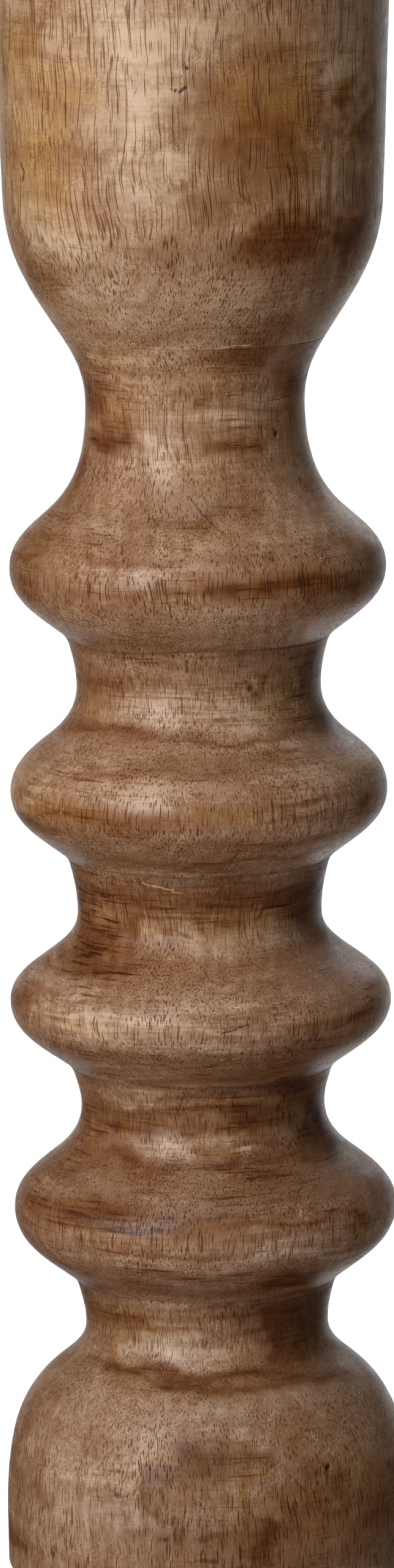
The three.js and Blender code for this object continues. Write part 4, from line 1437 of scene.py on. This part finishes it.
def floor_material():
    """A pale floor that keeps shadows, and is white to the camera and in reflections behind."""
    material, n = new_material("pale_floor")
    seen, glossy = rays(n)
    place = n.place()
    far = n.step(n.length(place), 0.2, 0.8, 0.8, 1.0)
    shade = n.blend(n.noise(place, 40, 2), (0.72, 0.72, 0.72, 1), (0.76, 0.76, 0.76, 1))
    diffuse = n.make("BsdfDiffuse", {"Color": shade}).outputs[0]
    both = n.make("AddShader", {0: diffuse, 1: n.glow(n.times(seen, far))}).outputs[0]
    mirrored = n.glow(studio_level(n, n.vector("NORMALIZE", place)))
    choice = n.make("MixShader", {0: glossy, 1: both, 2: mirrored})
    n.make("OutputMaterial", {0: choice.outputs[0]})
    return material


def set_surround(scene, ambient):
    """A white surround to the camera, a studio that is white behind in reflections, and dim light."""
    world = bpy.data.worlds.new("surround")
    world.use_nodes = True
    world.node_tree.nodes.clear()
    n = Nodes(world.node_tree)
    seen, glossy = rays(n)
    level = n.times(glossy, studio_level(n, n.make("TexCoord").outputs["Generated"]))
    level = n.calc("MAXIMUM", n.calc("MAXIMUM", level, ambient), seen)
    light = n.make("Background", {"Color": WHITE, "Strength": level})
    n.make("OutputWorld", {0: light.outputs[0]})
    scene.world = world


# Operators


class CANDLESTICK_OT_base_block(bpy.types.Operator):
    """Builds the base drum with the lowest cove"""

    bl_idname = "candlestick.base_block"
    bl_label = "Base block"

    def execute(self, context):
        build_wood_block(context, "base_block")
        return {"FINISHED"}


class CANDLESTICK_OT_bead_blocks(bpy.types.Operator):
    """Builds the three bead blocks, each a bead with the cove above it"""

    bl_idname = "candlestick.bead_blocks"
    bl_label = "Bead blocks"

    def execute(self, context):
        for name in BEAD_BLOCKS:
            build_wood_block(context, name)
        return {"FINISHED"}


class CANDLESTICK_OT_neck_block(bpy.types.Operator):
    """Builds the highest bead and the waisted neck"""

    bl_idname = "candlestick.neck_block"
    bl_label = "Neck block"

    def execute(self, context):
        build_wood_block(context, "neck_block")
        return {"FINISHED"}


class CANDLESTICK_OT_cup_block(bpy.types.Operator):
    """Builds the drum-shaped cup"""

    bl_idname = "candlestick.cup_block"
    bl_label = "Cup block"

    def execute(self, context):
        build_wood_block(context, "cup_block")
        return {"FINISHED"}


class CANDLESTICK_OT_joint_dowels(bpy.types.Operator):
    """Builds the grooved dowels across the seams"""

    bl_idname = "candlestick.joint_dowels"
    bl_label = "Joint dowels"

    def execute(self, context):
        build_dowels(context)
        return {"FINISHED"}


class CANDLESTICK_OT_candle_pan(bpy.types.Operator):
    """Builds the brass pan that catches the wax"""

    bl_idname = "candlestick.candle_pan"
    bl_label = "Candle pan"

    def execute(self, context):
        build_pan(context)
        return {"FINISHED"}


class CANDLESTICK_OT_pricket_spike(bpy.types.Operator):
    """Builds the spike that holds the candle"""

    bl_idname = "candlestick.pricket_spike"
    bl_label = "Pricket spike"

    def execute(self, context):
        build_spike(context)
        return {"FINISHED"}


class CANDLESTICK_OT_pan_screws(bpy.types.Operator):
    """Builds the screws that hold the pan down"""

    bl_idname = "candlestick.pan_screws"
    bl_label = "Pan screws"

    def execute(self, context):
        build_screws(context)
        return {"FINISHED"}


class CANDLESTICK_OT_foot_pads(bpy.types.Operator):
    """Builds the felt pads under the base"""

    bl_idname = "candlestick.foot_pads"
    bl_label = "Foot pads"

    def execute(self, context):
        build_pads(context)
        return {"FINISHED"}


class CANDLESTICK_OT_stage(bpy.types.Operator):
    """Builds the floor, the camera and the light"""

    bl_idname = "candlestick.stage"
    bl_label = "Stage"

    def execute(self, context):
        build_stage(context)
        return {"FINISHED"}


OPERATORS = (
    CANDLESTICK_OT_base_block,
    CANDLESTICK_OT_bead_blocks,
    CANDLESTICK_OT_neck_block,
    CANDLESTICK_OT_cup_block,
    CANDLESTICK_OT_joint_dowels,
    CANDLESTICK_OT_candle_pan,
    CANDLESTICK_OT_pricket_spike,
    CANDLESTICK_OT_pan_screws,
    CANDLESTICK_OT_foot_pads,
    CANDLESTICK_OT_stage,
)


class CANDLESTICK_PT_pieces(bpy.types.Panel):
    """The candlestick's pieces and settings"""

    bl_idname = "CANDLESTICK_PT_pieces"
    bl_label = "Candlestick"
    bl_space_type = "VIEW_3D"
    bl_region_type = "UI"
    bl_category = "Candlestick"

    def draw(self, context):
        for operator in OPERATORS:
            self.layout.operator(operator.bl_idname)
        settings = context.scene.candlestick
        for group in (settings.wood, settings.wood_look, settings.metal, settings.small, settings.stage):
            box = self.layout.box()
            for key in group.bl_rna.properties.keys():
                if key not in ("rna_type", "name"):
                    box.prop(group, key)


CLASSES = (
    CandlestickWoodSizes,
    CandlestickWoodLook,
    CandlestickMetalLook,
    CandlestickSmallPieces,
    CandlestickStage,
    CandlestickSettings,
    *OPERATORS,
    CANDLESTICK_PT_pieces,
)


def register():
    """Registers the classes and puts the settings on the scene."""
    for cls in CLASSES:
        bpy.utils.register_class(cls)
    bpy.types.Scene.candlestick = PointerProperty(type=CandlestickSettings)


def unregister():
    """Takes the settings off the scene and unregisters the classes."""
    del bpy.types.Scene.candlestick
    for cls in reversed(CLASSES):
        bpy.utils.unregister_class(cls)


def main():
    """Builds every piece and the stage."""
    register()
    bpy.ops.candlestick.base_block()
    bpy.ops.candlestick.bead_blocks()
    bpy.ops.candlestick.neck_block()
    bpy.ops.candlestick.cup_block()
    bpy.ops.candlestick.joint_dowels()
    bpy.ops.candlestick.candle_pan()
    bpy.ops.candlestick.pricket_spike()
    bpy.ops.candlestick.pan_screws()
    bpy.ops.candlestick.foot_pads()
    bpy.ops.candlestick.stage()
    bpy.context.view_layer.update()


if __name__ == "__main__":
    main()
